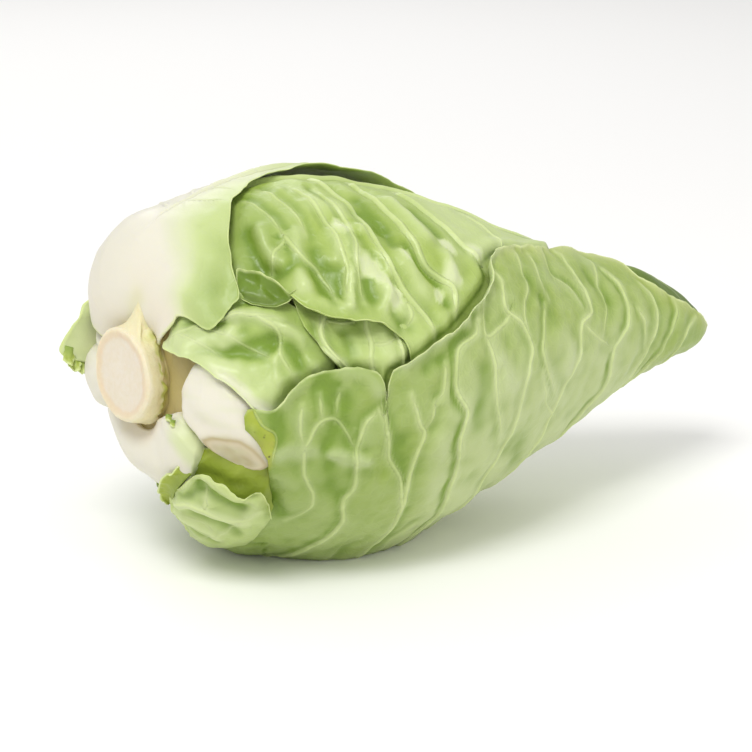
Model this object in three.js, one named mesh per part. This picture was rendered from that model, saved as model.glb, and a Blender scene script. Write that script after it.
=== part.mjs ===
// A pointed cabbage lying on its side: cut stem, firm inner head and the separate outer leaves.
// Millimetres. The stem end points to -X, the tip to +X, +Z is up, and z = 0 is the table it rests on.
// The head is a body of revolution about a tilted axis. Every leaf is a thin closed shell laid on that
// body: a patch between two edges, given by the run t along the profile and the turn about the axis.
import * as THREE from 'three';

// ---- driving dimensions ------------------------------------------------------------------------
const AXIS_HEIGHT = 63.05;          // height of the head's axis above the table at x = 0
const AXIS_TILT = 3;                // degrees the tip end leans down
const BLADE = 1.0;                  // thickness of a leaf blade
const SETTLE_DEPTH = 16;            // how far up the flattening under the head's weight reaches
const SPREAD = 2.5;                 // how far beside the flat patch the pressed leaves come down to the table
const STEM_RADIUS = 17.2;
const STEM_CUT_X = -85;             // where the knife went through the stem
const STEM_CUT_LEAN = [-0.13, -0.02]; // the cut leans a little: slope in y and in z
const STEP = 12;                    // size of a facet along a leaf, and in degrees around it

// Outline of the head: run along the profile, distance along the axis, radius.
const PROFILE = [
  [0, -76, 16], [8, -78, 24], [17, -76, 33], [27, -71, 41], [37, -64, 48.5], [48, -55, 55],
  [62, -43, 61], [83, -22, 65.8], [102, -3, 66.8], [124, 19, 63.2], [150, 44, 54.3], [177, 69, 43.5],
  [204, 94, 33.2], [231, 119, 23.8], [254, 141, 15.8], [269, 154.5, 9.4], [279, 162, 4.6], [287, 166, 0],
];

// How far the axis is bent upwards at places along it: the tip is lifted, its end turns down again.
const BEND = [
  [-100, 0], [20, 0], [50, 0.4], [79, 1.8], [97, 3], [115, 4.4], [130, 4.9], [142, 3.6], [152, 1.4],
  [160, -0.4], [168, -1.6],
];

// ---- smooth curve through stations: each row starts with its place along the curve --------------
function along(rows, s) {
  const last = rows.length - 1;
  let i = 0;
  while (i < last - 1 && s > rows[i + 1][0]) i += 1;
  const slope = (k, c) => {
    const a = Math.max(k - 1, 0);
    const b = Math.min(k + 1, last);
    return (rows[b][c] - rows[a][c]) / (rows[b][0] - rows[a][0]);
  };
  const h = rows[i + 1][0] - rows[i][0];
  const u = Math.min(Math.max((s - rows[i][0]) / h, 0), 1);
  const out = [];
  for (let c = 1; c < rows[0].length; c += 1) {
    const a = (2 * u ** 3 - 3 * u ** 2 + 1) * rows[i][c] + (3 * u ** 2 - 2 * u ** 3) * rows[i + 1][c];
    out.push(a + h * ((u ** 3 - 2 * u ** 2 + u) * slope(i, c) + (u ** 3 - u ** 2) * slope(i + 1, c)));
  }
  return out;
}

// Straight steps between stations, for edges that would swing too far on a smooth curve.
function between(rows, s) {
  let i = 0;
  while (i < rows.length - 2 && s > rows[i + 1][0]) i += 1;
  const u = Math.min(Math.max((s - rows[i][0]) / (rows[i + 1][0] - rows[i][0]), 0), 1);
  return rows[i].slice(1).map((v, c) => v + (rows[i + 1][c + 1] - v) * u);
}

// ---- from the head's own axis to the table -------------------------------------------------------
const TILT = THREE.MathUtils.degToRad(AXIS_TILT);

function standing(x, y, z) {
  const up = z + along(BEND, x)[0];
  return [
    x * Math.cos(TILT) + up * Math.sin(TILT),
    y,
    -x * Math.sin(TILT) + up * Math.cos(TILT) + AXIS_HEIGHT,
  ];
}

// The underside of the plain head at (x, y), as a height above the table. The head settles where it
// is below 0: everything just above is pushed up by as much, less and less over SETTLE_DEPTH. Beside
// that patch, leaves less than SPREAD above the table are pressed down onto it.
function underside(x, y) {
  const axial = x * Math.cos(TILT) + AXIS_HEIGHT * Math.sin(TILT);
  const r = along(PROFILE.slice(2).map(([, px, pr]) => [px, pr]), axial)[0];
  const below = Math.sqrt(Math.max(r * r - y * y, 0));
  return AXIS_HEIGHT + along(BEND, axial)[0] - axial * Math.sin(TILT) - below * Math.cos(TILT);
}

function settled([x, y, z]) {
  const low = underside(x, y);
  const w = Math.min(Math.max((low - SPREAD) / (3 * SPREAD), 0), 1);
  const shift = low < SPREAD ? -low : -SPREAD * (1 - w * w * (3 - 2 * w));
  const u = Math.min(Math.max((z - low) / SETTLE_DEPTH, 0), 1);
  return [x, y, Math.max(z + (shift - 0.05) * (1 - u * u * (3 - 2 * u)), 0)];
}

// A point h outside the profile at run t and turn a degrees (0 front, 90 top, 180 back, -90 below).
function place(t, a, h) {
  const [x, r] = along(PROFILE, t);
  const [x0, r0] = along(PROFILE, Math.max(t - 0.2, 0));
  const [x1, r1] = along(PROFILE, Math.min(t + 0.2, 287));
  const d = Math.hypot(x1 - x0, r1 - r0);
  const rr = Math.max(r + h * (x1 - x0) / d, 0.25);
  const xx = x - h * (r1 - r0) / d;
  const c = THREE.MathUtils.degToRad(a);
  return settled(standing(xx, -rr * Math.cos(c), rr * Math.sin(c)));
}

// ---- closed bodies ---------------------------------------------------------------------------------
function body(name, colour, roughness, points, faces) {
  const g = new THREE.BufferGeometry();
  g.setAttribute('position', new THREE.Float32BufferAttribute(points.flat(), 3));
  g.setIndex(faces.flat());
  const flat = g.toNonIndexed();
  flat.computeVertexNormals();
  const mesh = new THREE.Mesh(
    flat,
    new THREE.MeshStandardMaterial({ color: colour, roughness, metalness: 0 }),
  );
  mesh.name = name;
  return mesh;
}

// A leaf. edges: rows of [t, first edge, second edge] in degrees. form: rows of [t, height of the
// outer face, rib thickness, lift of the first edge, lift of the second edge]. rib: where the midrib
// lies between the two edges, 0 to 1, and how wide it is in the same measure. bulging: the share of the
// rib's thickness that stands out of the blade's outer face.
function leaf(name, colour, { edges, form, rib = [0.5, 0.3], bulging = 0.25, rough = 0.5 }) {
  const t0 = edges[0][0];
  const t1 = edges[edges.length - 1][0];
  const span = Math.max(...edges.map((e) => (e[2] - e[1])));
  const nu = Math.max(Math.round((t1 - t0) / STEP), 5);
  const nv = Math.max(Math.round(span / STEP), 5);
  const points = [];
  for (let side = 0; side < 2; side += 1) {
    for (let i = 0; i <= nu; i += 1) {
      const t = t0 + (t1 - t0) * (i / nu);
      const [lo, hi] = between(edges, t);
      const [height, ribThick, liftLo, liftHi] = between(form, t);
      for (let j = 0; j <= nv; j += 1) {
        const v = j / nv;
        const near = Math.max(1 - ((v - rib[0]) / rib[1]) ** 2, 0);
        const lift = liftLo * Math.max(1 - 4 * v, 0) ** 2 + liftHi * Math.max(4 * v - 3, 0) ** 2;
        const thick = BLADE + (ribThick - BLADE) * near * near * (3 - 2 * near);
        const bulge = bulging * (thick - BLADE);
        const h = height + lift + (side === 0 ? bulge : bulge - thick);
        points.push(place(t, lo + (hi - lo) * v, h));
      }
    }
  }
  const faces = [];
  const n = (nu + 1) * (nv + 1);
  const at = (i, j) => i * (nv + 1) + j;
  const quad = (a, b, c, d) => faces.push([a, c, b], [a, d, c]);
  for (let i = 0; i < nu; i += 1) {
    for (let j = 0; j < nv; j += 1) {
      quad(at(i, j), at(i, j + 1), at(i + 1, j + 1), at(i + 1, j));
      quad(n + at(i, j), n + at(i + 1, j), n + at(i + 1, j + 1), n + at(i, j + 1));
    }
  }
  for (let i = 0; i < nu; i += 1) {
    quad(at(i, 0), at(i + 1, 0), n + at(i + 1, 0), n + at(i, 0));
    quad(at(i + 1, nv), at(i, nv), n + at(i, nv), n + at(i + 1, nv));
  }
  for (let j = 0; j < nv; j += 1) {
    quad(at(0, j + 1), at(0, j), n + at(0, j), n + at(0, j + 1));
    quad(at(nu, j), at(nu, j + 1), n + at(nu, j + 1), n + at(nu, j));
  }
  return body(name, colour, rough, points, faces);
}

// A body of revolution closed by a point at each end. rings: rows of [x, r] in the head's own frame.
function turned(name, colour, rings, columns, rough, move) {
  const points = [move(rings[0][0], 0, 0)];
  const inner = rings.slice(1, -1);
  inner.forEach(([x, r]) => {
    for (let j = 0; j < columns; j += 1) {
      const c = (2 * Math.PI * j) / columns;
      points.push(move(x, -r * Math.cos(c), r * Math.sin(c)));
    }
  });
  points.push(move(rings[rings.length - 1][0], 0, 0));
  const faces = [];
  const at = (i, j) => 1 + i * columns + (j % columns);
  for (let j = 0; j < columns; j += 1) {
    faces.push([0, at(0, j), at(0, j + 1)]);
    for (let i = 0; i < inner.length - 1; i += 1) {
      faces.push([at(i, j), at(i + 1, j), at(i + 1, j + 1)], [at(i, j), at(i + 1, j + 1), at(i, j + 1)]);
    }
    faces.push([points.length - 1, at(inner.length - 1, j + 1), at(inner.length - 1, j)]);
  }
  return body(name, colour, rough, points, faces);
}

// ---- stem and inner head -----------------------------------------------------------------------------
// The stem: a knife cut at its end, a short round stalk, and the root of the head that carries the leaves.
function stem() {
  const rings = [
    [STEM_CUT_X, 0], [STEM_CUT_X, STEM_RADIUS], [-80, 17.3], [-74, 16.4], [-67, 16.2], [-61, 18.5],
    [-57, 24], [-57, 0],
  ];
  const move = (x, y, z) => {
    const share = Math.min(Math.max((-70 - x) / 15, 0), 1);
    const lean = (STEM_CUT_LEAN[0] * y + STEM_CUT_LEAN[1] * z) * share;
    return standing(x + lean, y, z + 2.5 * share);
  };
  return turned('stem', 0xe9dfc4, rings, 24, 0.6, move);
}

// The inner head: the tightly closed leaves under the loose ones, as one firm body.
function innerHead() {
  const inset = [[37, -13.5], [62, -12], [95, -9], [130, -8], [210, -7.6], [262, -7]];
  const rings = [[-56, 0], [-56, 30]];
  for (let i = 0; i <= 17; i += 1) {
    const t = 37 + (262 - 37) * (i / 17);
    const [h] = between(inset, t);
    const [x, r] = along(PROFILE, t);
    const [x0, r0] = along(PROFILE, t - 0.2);
    const [x1, r1] = along(PROFILE, t + 0.2);
    const d = Math.hypot(x1 - x0, r1 - r0);
    rings.push([x - h * (r1 - r0) / d, r + h * (x1 - x0) / d]);
  }
  rings.push([rings[rings.length - 1][0] + 7, 0]);
  return turned('inner_head', 0xcfdd9c, rings, 24, 0.5, (x, y, z) => settled(standing(x, y, z)));
}

// ---- the leaves --------------------------------------------------------------------------------------
const GREEN = 0xa9c272;
const PALE = 0xc3d790;
const WHITE = 0xeeeedd;

const group = new THREE.Group();
group.add(stem());
group.add(innerHead());

// The large leaf that wraps the front, the underside and the tip.
group.add(leaf('front_wrap_leaf', GREEN, {
  edges: [
    [40, -124, -38], [46, -134, -30], [52, -160, -8], [56, -174, 9], [62, -185, 13], [78, -198, 12],
    [84, -200, 5], [92, -204, 13], [106, -208, 20], [121, -210, 28], [133, -210, 38], [141, -210, 48],
    [158, -212, 55], [172, -213, 58], [186, -214, 66], [203, -215, 78], [216, -214, 83], [227, -213, 78],
    [236, -212, 57], [250, -210, 44], [268, -203, 33], [286, -190, 24],
  ],
  form: [
    [40, -2.5, 5, 0, 0], [50, -0.5, 5, 0, 0.3], [62, 0, 4, 0, 0.4], [84, 0, 3, 0.3, 0.6],
    [130, 0, 2, 0.6, 0.8], [200, 0, 1.2, 0.5, 0.5], [260, 0, 1, 0, 0], [274, 0, 0.8, 0, 0],
    [286, 0, 0.6, 0, 0],
  ],
  rib: [0.45, 0.12],
}));

// The leaf that wraps the back and shows as a narrow strip above the front one near the tip.
group.add(leaf('back_wrap_leaf', GREEN, {
  edges: [
    [96, 66, 150], [120, 50, 170], [150, 44, 182], [190, 50, 190], [216, 58, 192], [228, 50, 192],
    [238, 36, 192], [250, 27, 190], [268, 15, 188], [281, 10, 184],
  ],
  form: [
    [96, -5, 2, 0, 0], [186, -5, 1.4, 0, 0], [212, -2.6, 1.2, 0, 0], [240, -2.3, 1, 0, 0],
    [268, -2, 0.8, 0, 0], [281, -1.8, 0.7, 0, 0],
  ],
  rib: [0.55, 0.12],
}));

// The glossy crinkled leaf across the top, its lower edge curling away from the head.
group.add(leaf('crinkled_top_leaf', GREEN, {
  edges: [
    [52, 46, 96], [58, 40, 104], [66, 32, 110], [76, 29, 114], [90, 24, 118], [99, 14, 119],
    [114, 14, 120], [130, 22, 119], [160, 38, 108], [184, 62, 86],
  ],
  form: [
    [52, -2.6, 2.4, 0, 0], [62, -2.6, 2.4, 1.6, 0], [82, -2.6, 2.2, 2, 0], [100, -2.6, 2, 0, 0],
    [184, -2.6, 1, 0, 0],
  ],
  rib: [0.62, 0.14],
}));

// The quiet leaf underneath, seen between the torn one, the crinkled one and the front one.
group.add(leaf('under_leaf', PALE, {
  edges: [
    [49, 0, 36], [58, -6, 40], [70, -14, 42], [86, -20, 42], [106, -22, 36], [130, -18, 28],
  ],
  form: [[49, -5.2, 1.6, 0, 0], [70, -5, 1.6, 0, 0], [130, -5, 1, 0, 0]],
}));

// The torn leaf beside the stem, with a rounded lobe and a ragged lower edge.
group.add(leaf('torn_side_leaf', PALE, {
  edges: [
    [10, 41, 50], [14, 30, 53], [22, 24, 53], [30, 18, 50], [38, 13, 43], [47, 6, 36],
    [55, 9, 31], [62, 14, 22],
  ],
  form: [
    [10, -0.4, 1.2, 1, 0], [22, -0.8, 1.4, 1.6, 0], [40, -1.8, 1.4, 1.4, 0], [62, -2.8, 1, 0, 0],
  ],
}));

// A flap of that leaf folded over, between the upper leaf and the crinkled one.
group.add(leaf('folded_flap', GREEN, {
  edges: [[44, 42, 52], [48, 39, 54], [53, 38, 49], [57.5, 38, 42]],
  form: [[44, -0.7, 0.8, 0, 0], [57.5, -0.7, 0.8, 0, 0]],
}));

// The upper leaf: thick white base beside the stem, blade over the top, ragged front edge.
group.add(leaf('upper_leaf', PALE, {
  edges: [
    [5, 56, 132], [12, 52, 144], [20, 48, 147], [28, 36, 148], [36, 39, 150], [42, 46, 152],
    [46, 64, 153], [54, 78, 154], [66, 88, 154], [90, 96, 150], [120, 102, 144], [146, 112, 132],
  ],
  form: [
    [5, 1.6, 4, 0, 0], [14, 2.6, 9, 0, 0], [24, 2.6, 11.5, 0, 0], [34, 2.2, 10, 0, 0], [44, 1.7, 7, 0, 0],
    [70, 1.6, 3.2, 0, 0], [110, 1.4, 2, 0, 0], [146, 1, 1, 0, 0],
  ],
  rib: [0.7, 0.44],
  bulging: 0.7,
}));

// The trimmed leaf base at the front: a thick white wedge ending in an oval cut.
group.add(leaf('trimmed_base', WHITE, {
  edges: [
    [8, -6, 8], [13, -9, 17], [20, -15, 20.5], [27, -21, 16], [34, -25, 11], [40, -24.5, 6], [44, -20, 3],
  ],
  form: [
    [8, -5, 5, 0, 0], [14, -1, 7.5, 0, 0], [24, 1.4, 9, 0, 0], [34, 1.4, 8, 0, 0], [40, 0.4, 6, 0, 0],
    [44, -1.4, 3, 0, 0],
  ],
  rib: [0.45, 0.62],
  rough: 0.45,
}));

// The lower leaf base: thick and white under the stem, cut off short.
group.add(leaf('lower_base', WHITE, {
  edges: [
    [4, -140, -30], [10, -147, -14], [17, -149, -17], [22, -147, -21.5], [27, -134, -32],
  ],
  form: [[4, 0.5, 8, 0, 0], [12, 2.4, 10, 0, 0], [20, 2, 9, 0, 0], [27, 1, 7, 0, 0]],
  rib: [0.45, 0.5],
  rough: 0.45,
}));

// The small crumpled leaf below it, folded away from the head.
group.add(leaf('crumpled_leaf', GREEN, {
  edges: [
    [21, -64, -42], [26, -80, -34], [31, -92, -30], [38, -97, -29], [46, -96, -30], [51, -92, -32],
    [55, -82, -44],
  ],
  form: [
    [21, 6.2, 1, 0, 0.4], [28, 6, 1, 0, 0.8], [36, 5, 1, 0, 0.8], [44, 3.8, 1, 0, 1], [55, 2.6, 1, 0, 0],
  ],
}));

// The leaf at the back beside the stem, its short torn end standing off the head.
group.add(leaf('back_leaf', PALE, {
  edges: [
    [5, 150, 170], [14, 151, 170.5], [26, 152, 171], [40, 154, 175], [56, 150, 192], [76, 140, 204],
    [100, 136, 208], [124, 146, 196],
  ],
  form: [
    [5, 2, 6, 0, 0], [12, 2.6, 7, 0, 0], [26, 0, 6, 0, 0], [44, -3, 3, 0, 0], [62, -3, 2, 0, 0],
    [124, -2.8, 1, 0, 0],
  ],
  rib: [0.5, 0.45],
}));

// The torn end of that leaf, curling out beside the stem.
group.add(leaf('torn_back_end', PALE, {
  edges: [[10, 158, 205], [14, 156, 208], [20, 154, 210], [27, 158, 208], [33, 166, 204]],
  form: [[10, 14, 1, 0, 2], [16, 12.5, 1, 0, 3], [24, 10, 1, 0, 3], [33, 7, 1, 0, 1]],
}));

// The leaf base low at the back, white and thick.
group.add(leaf('rear_base', WHITE, {
  edges: [
    [5, -186, -146], [12, -187, -151], [22, -187, -151], [31, -186, -146], [39, -181, -140],
  ],
  form: [[5, 0.4, 7, 0, 0], [13, 3, 9, 0, 0], [20, 4, 10, 0, 0], [29, 2.2, 8, 0, 0], [39, -2, 4, 0, 0]],
  rib: [0.5, 0.6],
  rough: 0.45,
}));

export default group;
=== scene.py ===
"""Looks of a whole pointed cabbage lying on its side: cut stem, white leaf bases, loose outer leaves.

Every leaf is a patch laid on the head, which is a body of revolution about a tilted axis. A place on the
head is given by its run t (mm along the outline from the stem to the tip), its turn (degrees about the
axis: 0 front, 90 top, 180 back, -90 underneath) and its height (mm outside the outline).
"""

import bpy
import numpy as np
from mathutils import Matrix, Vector


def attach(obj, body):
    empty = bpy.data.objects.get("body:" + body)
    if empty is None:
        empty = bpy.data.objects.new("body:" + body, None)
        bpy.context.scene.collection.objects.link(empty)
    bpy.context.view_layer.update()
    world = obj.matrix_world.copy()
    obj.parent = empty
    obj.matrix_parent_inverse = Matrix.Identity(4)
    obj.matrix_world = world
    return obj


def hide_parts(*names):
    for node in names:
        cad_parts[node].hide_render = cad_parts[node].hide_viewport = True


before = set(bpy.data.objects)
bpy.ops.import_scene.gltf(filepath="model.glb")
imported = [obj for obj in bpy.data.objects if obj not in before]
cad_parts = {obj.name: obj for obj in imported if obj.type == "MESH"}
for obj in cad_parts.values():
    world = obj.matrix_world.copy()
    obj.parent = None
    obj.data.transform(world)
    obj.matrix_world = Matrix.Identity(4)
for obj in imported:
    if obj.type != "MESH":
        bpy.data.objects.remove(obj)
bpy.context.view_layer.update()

# ---- sizes, in millimetres and degrees ------------------------------------------------------------
AXIS_HEIGHT = 63.05
AXIS_TILT = np.radians(3.0)
SETTLE_DEPTH = 16.0
SPREAD = 2.5
BLADE = 0.9
THICKEST_RIM = 1.6
MM = 0.001
# The head's outline: rows of run t, axial place and radius.
PROFILE = np.array([
    (0, -76, 16), (8, -78, 24), (17, -76, 33), (27, -71, 41), (37, -64, 48.5), (48, -55, 55), (62, -43, 61),
    (83, -22, 65.8), (102, -3, 66.8), (124, 19, 63.2), (150, 44, 54.3), (177, 69, 43.5), (204, 94, 33.2),
    (231, 119, 23.8), (254, 141, 15.8), (269, 154.5, 9.4), (279, 162, 4.6), (287, 166, 0),
], float)
# How far the axis is bent upwards at places along it: the tip is lifted, and its end turns down again.
BEND = np.array([
    (-100, 0), (20, 0), (50, 0.4), (79, 1.8), (97, 3.0), (115, 4.4), (130, 4.9), (142, 3.6), (152, 1.4),
    (160, -0.4), (168, -1.6),
], float)


# ---- numbers that stand for nature's irregularity --------------------------------------------------
ARROWS = np.random.default_rng(41).normal(size=(4096, 3))
ARROWS /= np.linalg.norm(ARROWS, axis=1, keepdims=True)
# Large primes, which spread neighbouring cells over the arrows, the numbers that do the same for seeds,
# and what stretches the noise to about 1.
SCATTER = np.array([73856093, 19349663, 83492791])
SEED_STEP, SEED_START = 2654435, 977
TO_ONE = 1.6


def ripple(points, size, seed=0):
    """Smooth noise of about -1 to 1 over points (..., 3): on a lattice of that size each corner has a
    random slope, and the eight slopes around a point are blended with the curve 6w^5 - 15w^4 + 10w^3."""
    place = np.asarray(points, float) / size
    cell = np.floor(place).astype(np.int64)
    part = place - cell
    blend = part**3 * (part * (part * 6 - 15) + 10)
    total = np.zeros(place.shape[:-1])
    for corner in np.ndindex(2, 2, 2):
        corner = np.array(corner)
        spot = cell + corner
        key = np.bitwise_xor.reduce(spot * SCATTER, axis=-1)
        key = (key ^ (seed * SEED_STEP + SEED_START)) & (len(ARROWS) - 1)
        weight = np.prod(np.where(corner == 1, blend, 1 - blend), axis=-1)
        total += weight * np.sum(ARROWS[key] * (part - corner), axis=-1)
    return total * TO_ONE


def waver(length, size, seed):
    """Noise along a line, for edges: the same noise read along one axis."""
    length = np.asarray(length, float)
    return ripple(np.stack([length, length * 0 + 0.37 * size, length * 0 + seed * 3.1], -1), size, seed)


def ease(a, b, x):
    """0 below a, 1 above b and 3w^2 - 2w^3 between."""
    w = np.clip((np.asarray(x, float) - a) / (b - a), 0, 1)
    return w * w * (3 - 2 * w)


def fall(a, b, x):
    """The other way round: 1 below a and 0 above b."""
    return 1 - ease(a, b, x)


def bell(x):
    """exp(-x^2)."""
    return np.exp(-np.square(x))


def table(rows, x):
    """Straight steps between rows of (x, value)."""
    return np.interp(x, *np.array(rows, float).T)


def chance(points, size, seed, middle=0.5, swing=1.0):
    """Noise as a share from 0 to 1: middle and swing * the noise, cut off at both ends."""
    return np.clip(middle + swing * ripple(points, size, seed), 0, 1)


def unit(v):
    """The same directions with length 1."""
    return v / np.maximum(np.linalg.norm(v, axis=-1, keepdims=True), 1e-9)


def dot(v, w):
    """The dot product of each pair of vectors."""
    return np.sum(v * w, -1)


# ---- the head ----------------------------------------------------------------------------------------
def smooth_curve(rows, s):
    """A curve through rows of (s, values): cubic pieces, each slope taken across the two neighbours."""
    k, y = rows[:, 0], rows[:, 1:]
    slope = np.empty_like(y)
    slope[1:-1] = (y[2:] - y[:-2]) / (k[2:] - k[:-2])[:, None]
    slope[0] = (y[1] - y[0]) / (k[1] - k[0])
    slope[-1] = (y[-1] - y[-2]) / (k[-1] - k[-2])
    i = np.clip(np.searchsorted(k, s, side="right") - 1, 0, len(k) - 2)
    h = (k[i + 1] - k[i])[:, None]
    w = (np.clip((s - k[i]) / (k[i + 1] - k[i]), 0, 1))[:, None]
    near = (2 * w**3 - 3 * w**2 + 1) * y[i] + (3 * w**2 - 2 * w**3) * y[i + 1]
    return near + h * ((w**3 - 2 * w**2 + w) * slope[i] + (w**3 - w**2) * slope[i + 1])


RUN_STEP = 0.25
RUN = np.arange(0, PROFILE[-1, 0] + 0.01, RUN_STEP)
AXIAL, RADIUS = smooth_curve(PROFILE, RUN).T
# The outline's own direction at each run, (axial, radial), as the mean over its neighbours, about 6 mm.
NEIGHBOURS = 25
WAY = [np.pad(np.gradient(c), NEIGHBOURS // 2, mode="edge") for c in (AXIAL, RADIUS)]
WAY = np.stack([np.convolve(c, np.ones(NEIGHBOURS) / NEIGHBOURS, "valid") for c in WAY])
WAY /= np.hypot(*WAY)
# Past this index the outline runs only towards the tip, so that its radius can be read by axial place.
FORWARD = int(20 / RUN_STEP)
ALONG = np.arange(BEND[0, 0], BEND[-1, 0] + 0.1, 0.5)
RISE = smooth_curve(BEND, ALONG)[:, 0]


def outline(t):
    """The outline at run t: axial place, radius, and its direction (axial, radial)."""
    return [np.interp(t, RUN, c) for c in (AXIAL, RADIUS, *WAY)]


def distance(t, turn):
    """Lengths in mm along a line of places: run and turn between neighbours, at the radius between."""
    r = np.interp((t[1:] + t[:-1]) / 2, RUN, RADIUS)
    return np.hypot(np.diff(t), np.radians(np.diff(turn)) * r)


def travelled(steps):
    """Where each point of a line is along it, from the lengths between its points."""
    return np.concatenate([[0], np.cumsum(steps)])


def settled(p):
    """The head's weight flattens its underside. Where the plain head would be below the table, what is
    above is pushed up by as much, falling to nothing over SETTLE_DEPTH, and nothing goes below 0. Beside
    that patch it is pressed down onto the table, by SPREAD at the most, and less and less up to where it
    would stand 4*SPREAD above."""
    x, y, z = p[..., 0], p[..., 1], p[..., 2]
    axial = x * np.cos(AXIS_TILT) + AXIS_HEIGHT * np.sin(AXIS_TILT)
    r = np.interp(axial, AXIAL[FORWARD:], RADIUS[FORWARD:])
    low = AXIS_HEIGHT + np.interp(axial, ALONG, RISE) - axial * np.sin(AXIS_TILT)
    low -= np.sqrt(np.maximum(r * r - y * y, 0)) * np.cos(AXIS_TILT)
    shift = np.maximum(-low, -SPREAD * fall(SPREAD, 4 * SPREAD, low))
    up = shift * fall(0, SETTLE_DEPTH, z - low)
    return np.stack([x, y, np.maximum(z + up, 0)], -1)


def stand(x, y, z):
    """From the head's own axis to the table: bent by BEND, leaned by AXIS_TILT, raised to AXIS_HEIGHT."""
    c, s = np.cos(AXIS_TILT), np.sin(AXIS_TILT)
    z = z + np.interp(x, ALONG, RISE)
    return np.stack([x * c + z * s, y + 0 * x, -x * s + z * c + AXIS_HEIGHT], -1)


def on_head(t, turn, height):
    """The point at run t and turn, height outside the outline along the outline's own normal."""
    x, r, dx, dr = outline(t)
    x, r = x - height * dr, np.maximum(r + height * dx, 0.05)
    a = np.radians(turn)
    return stand(x, -r * np.cos(a), r * np.sin(a))


def spots_at(rows):
    """The points at rows of (t, turn, height)."""
    return on_head(*np.array(rows, float).T)


def swell(p, t):
    """The gentle lumps of the whole head, shared by all the leaves so that they follow each other."""
    keep = ease(0, 40, t) * fall(255, 285, t)
    return keep * (1.5 * ripple(p, 42, 1) + 0.8 * ripple(p, 19, 2))


# ---- meshes ------------------------------------------------------------------------------------------
class Mesh:
    """Gathers patches of one piece: points in mm, faces of four or three corners, and marks per point."""

    def __init__(self, marks):
        self.marks, self.count = marks, 0
        self.points, self.fours, self.threes, self.smooth, self.values = [], [], [], [], []

    def add(self, points, fours, threes=(), smooth=True, **values):
        """smooth says of all the four-cornered faces, or of each, whether it is shaded as a curve."""
        points = np.asarray(points, float).reshape(-1, 3)
        self.fours.append(np.asarray(fours, np.int64).reshape(-1, 4) + self.count)
        self.smooth.append(np.broadcast_to(smooth, len(self.fours[-1])))
        self.threes.append(np.asarray(threes, np.int64).reshape(-1, 3) + self.count)
        self.points.append(points)
        self.values.append({
            m: np.broadcast_to(np.asarray(values.get(m, 0.0), float).ravel(), len(points)) for m in self.marks
        })
        self.count += len(points)

    def build(self, name, material, slot):
        """Puts the gathered arrays into a Blender object, in metres, that stands for the CAD node of that
        name and moves with the root."""
        points = np.concatenate(self.points) * MM
        points[:, 2] = np.maximum(points[:, 2], 0)
        fours, threes = np.concatenate(self.fours), np.concatenate(self.threes)
        corners = np.concatenate([fours.ravel(), threes.ravel()])
        starts = np.concatenate([np.arange(0, fours.size, 4), fours.size + np.arange(0, threes.size, 3)])
        data = bpy.data.meshes.new(name + "_looks")
        data.vertices.add(len(points))
        data.vertices.foreach_set("co", points.astype(np.float32).ravel())
        data.loops.add(len(corners))
        data.loops.foreach_set("vertex_index", corners.astype(np.int32))
        data.polygons.add(len(starts))
        data.polygons.foreach_set("loop_start", starts.astype(np.int32))
        data.polygons.foreach_set("use_smooth", np.concatenate([*self.smooth, np.ones(len(threes), bool)]))
        for mark in self.marks:
            attribute = data.attributes.new(mark, "FLOAT", "POINT")
            whole = np.concatenate([v[mark] for v in self.values])
            attribute.data.foreach_set("value", whole.astype(np.float32))
        data.update(calc_edges=True)
        data.materials.append(material)
        piece = in_scene(name + "_looks", data)
        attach(piece, "root")
        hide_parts(name)


def in_scene(name, data):
    """A new object in the scene that holds the data."""
    made = bpy.data.objects.new(name, data)
    bpy.context.scene.collection.objects.link(made)
    return made


def grid_faces(rows, cols, first=0, flip=False):
    """Faces of a grid of rows x cols points, counted row by row from first."""
    i, j = np.meshgrid(np.arange(rows - 1), np.arange(cols - 1), indexing="ij")
    a = first + (i * cols + j).ravel()
    faces = np.stack([a, a + cols, a + cols + 1, a + 1], -1)
    return faces[:, ::-1] if flip else faces


def ring_place(row, col, around):
    """The number of a point in rows of points that are closed rings."""
    return row * around + col % around


def normals_of(p):
    """Unit normals of a grid of points: the cross product of its two directions."""
    return unit(np.cross(np.gradient(p, axis=0), np.gradient(p, axis=1)))


def border(a):
    """The values of a grid once round its border."""
    return np.concatenate([a[0, :-1], a[:-1, -1], a[-1, :0:-1], a[:0:-1, 0]])


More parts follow.
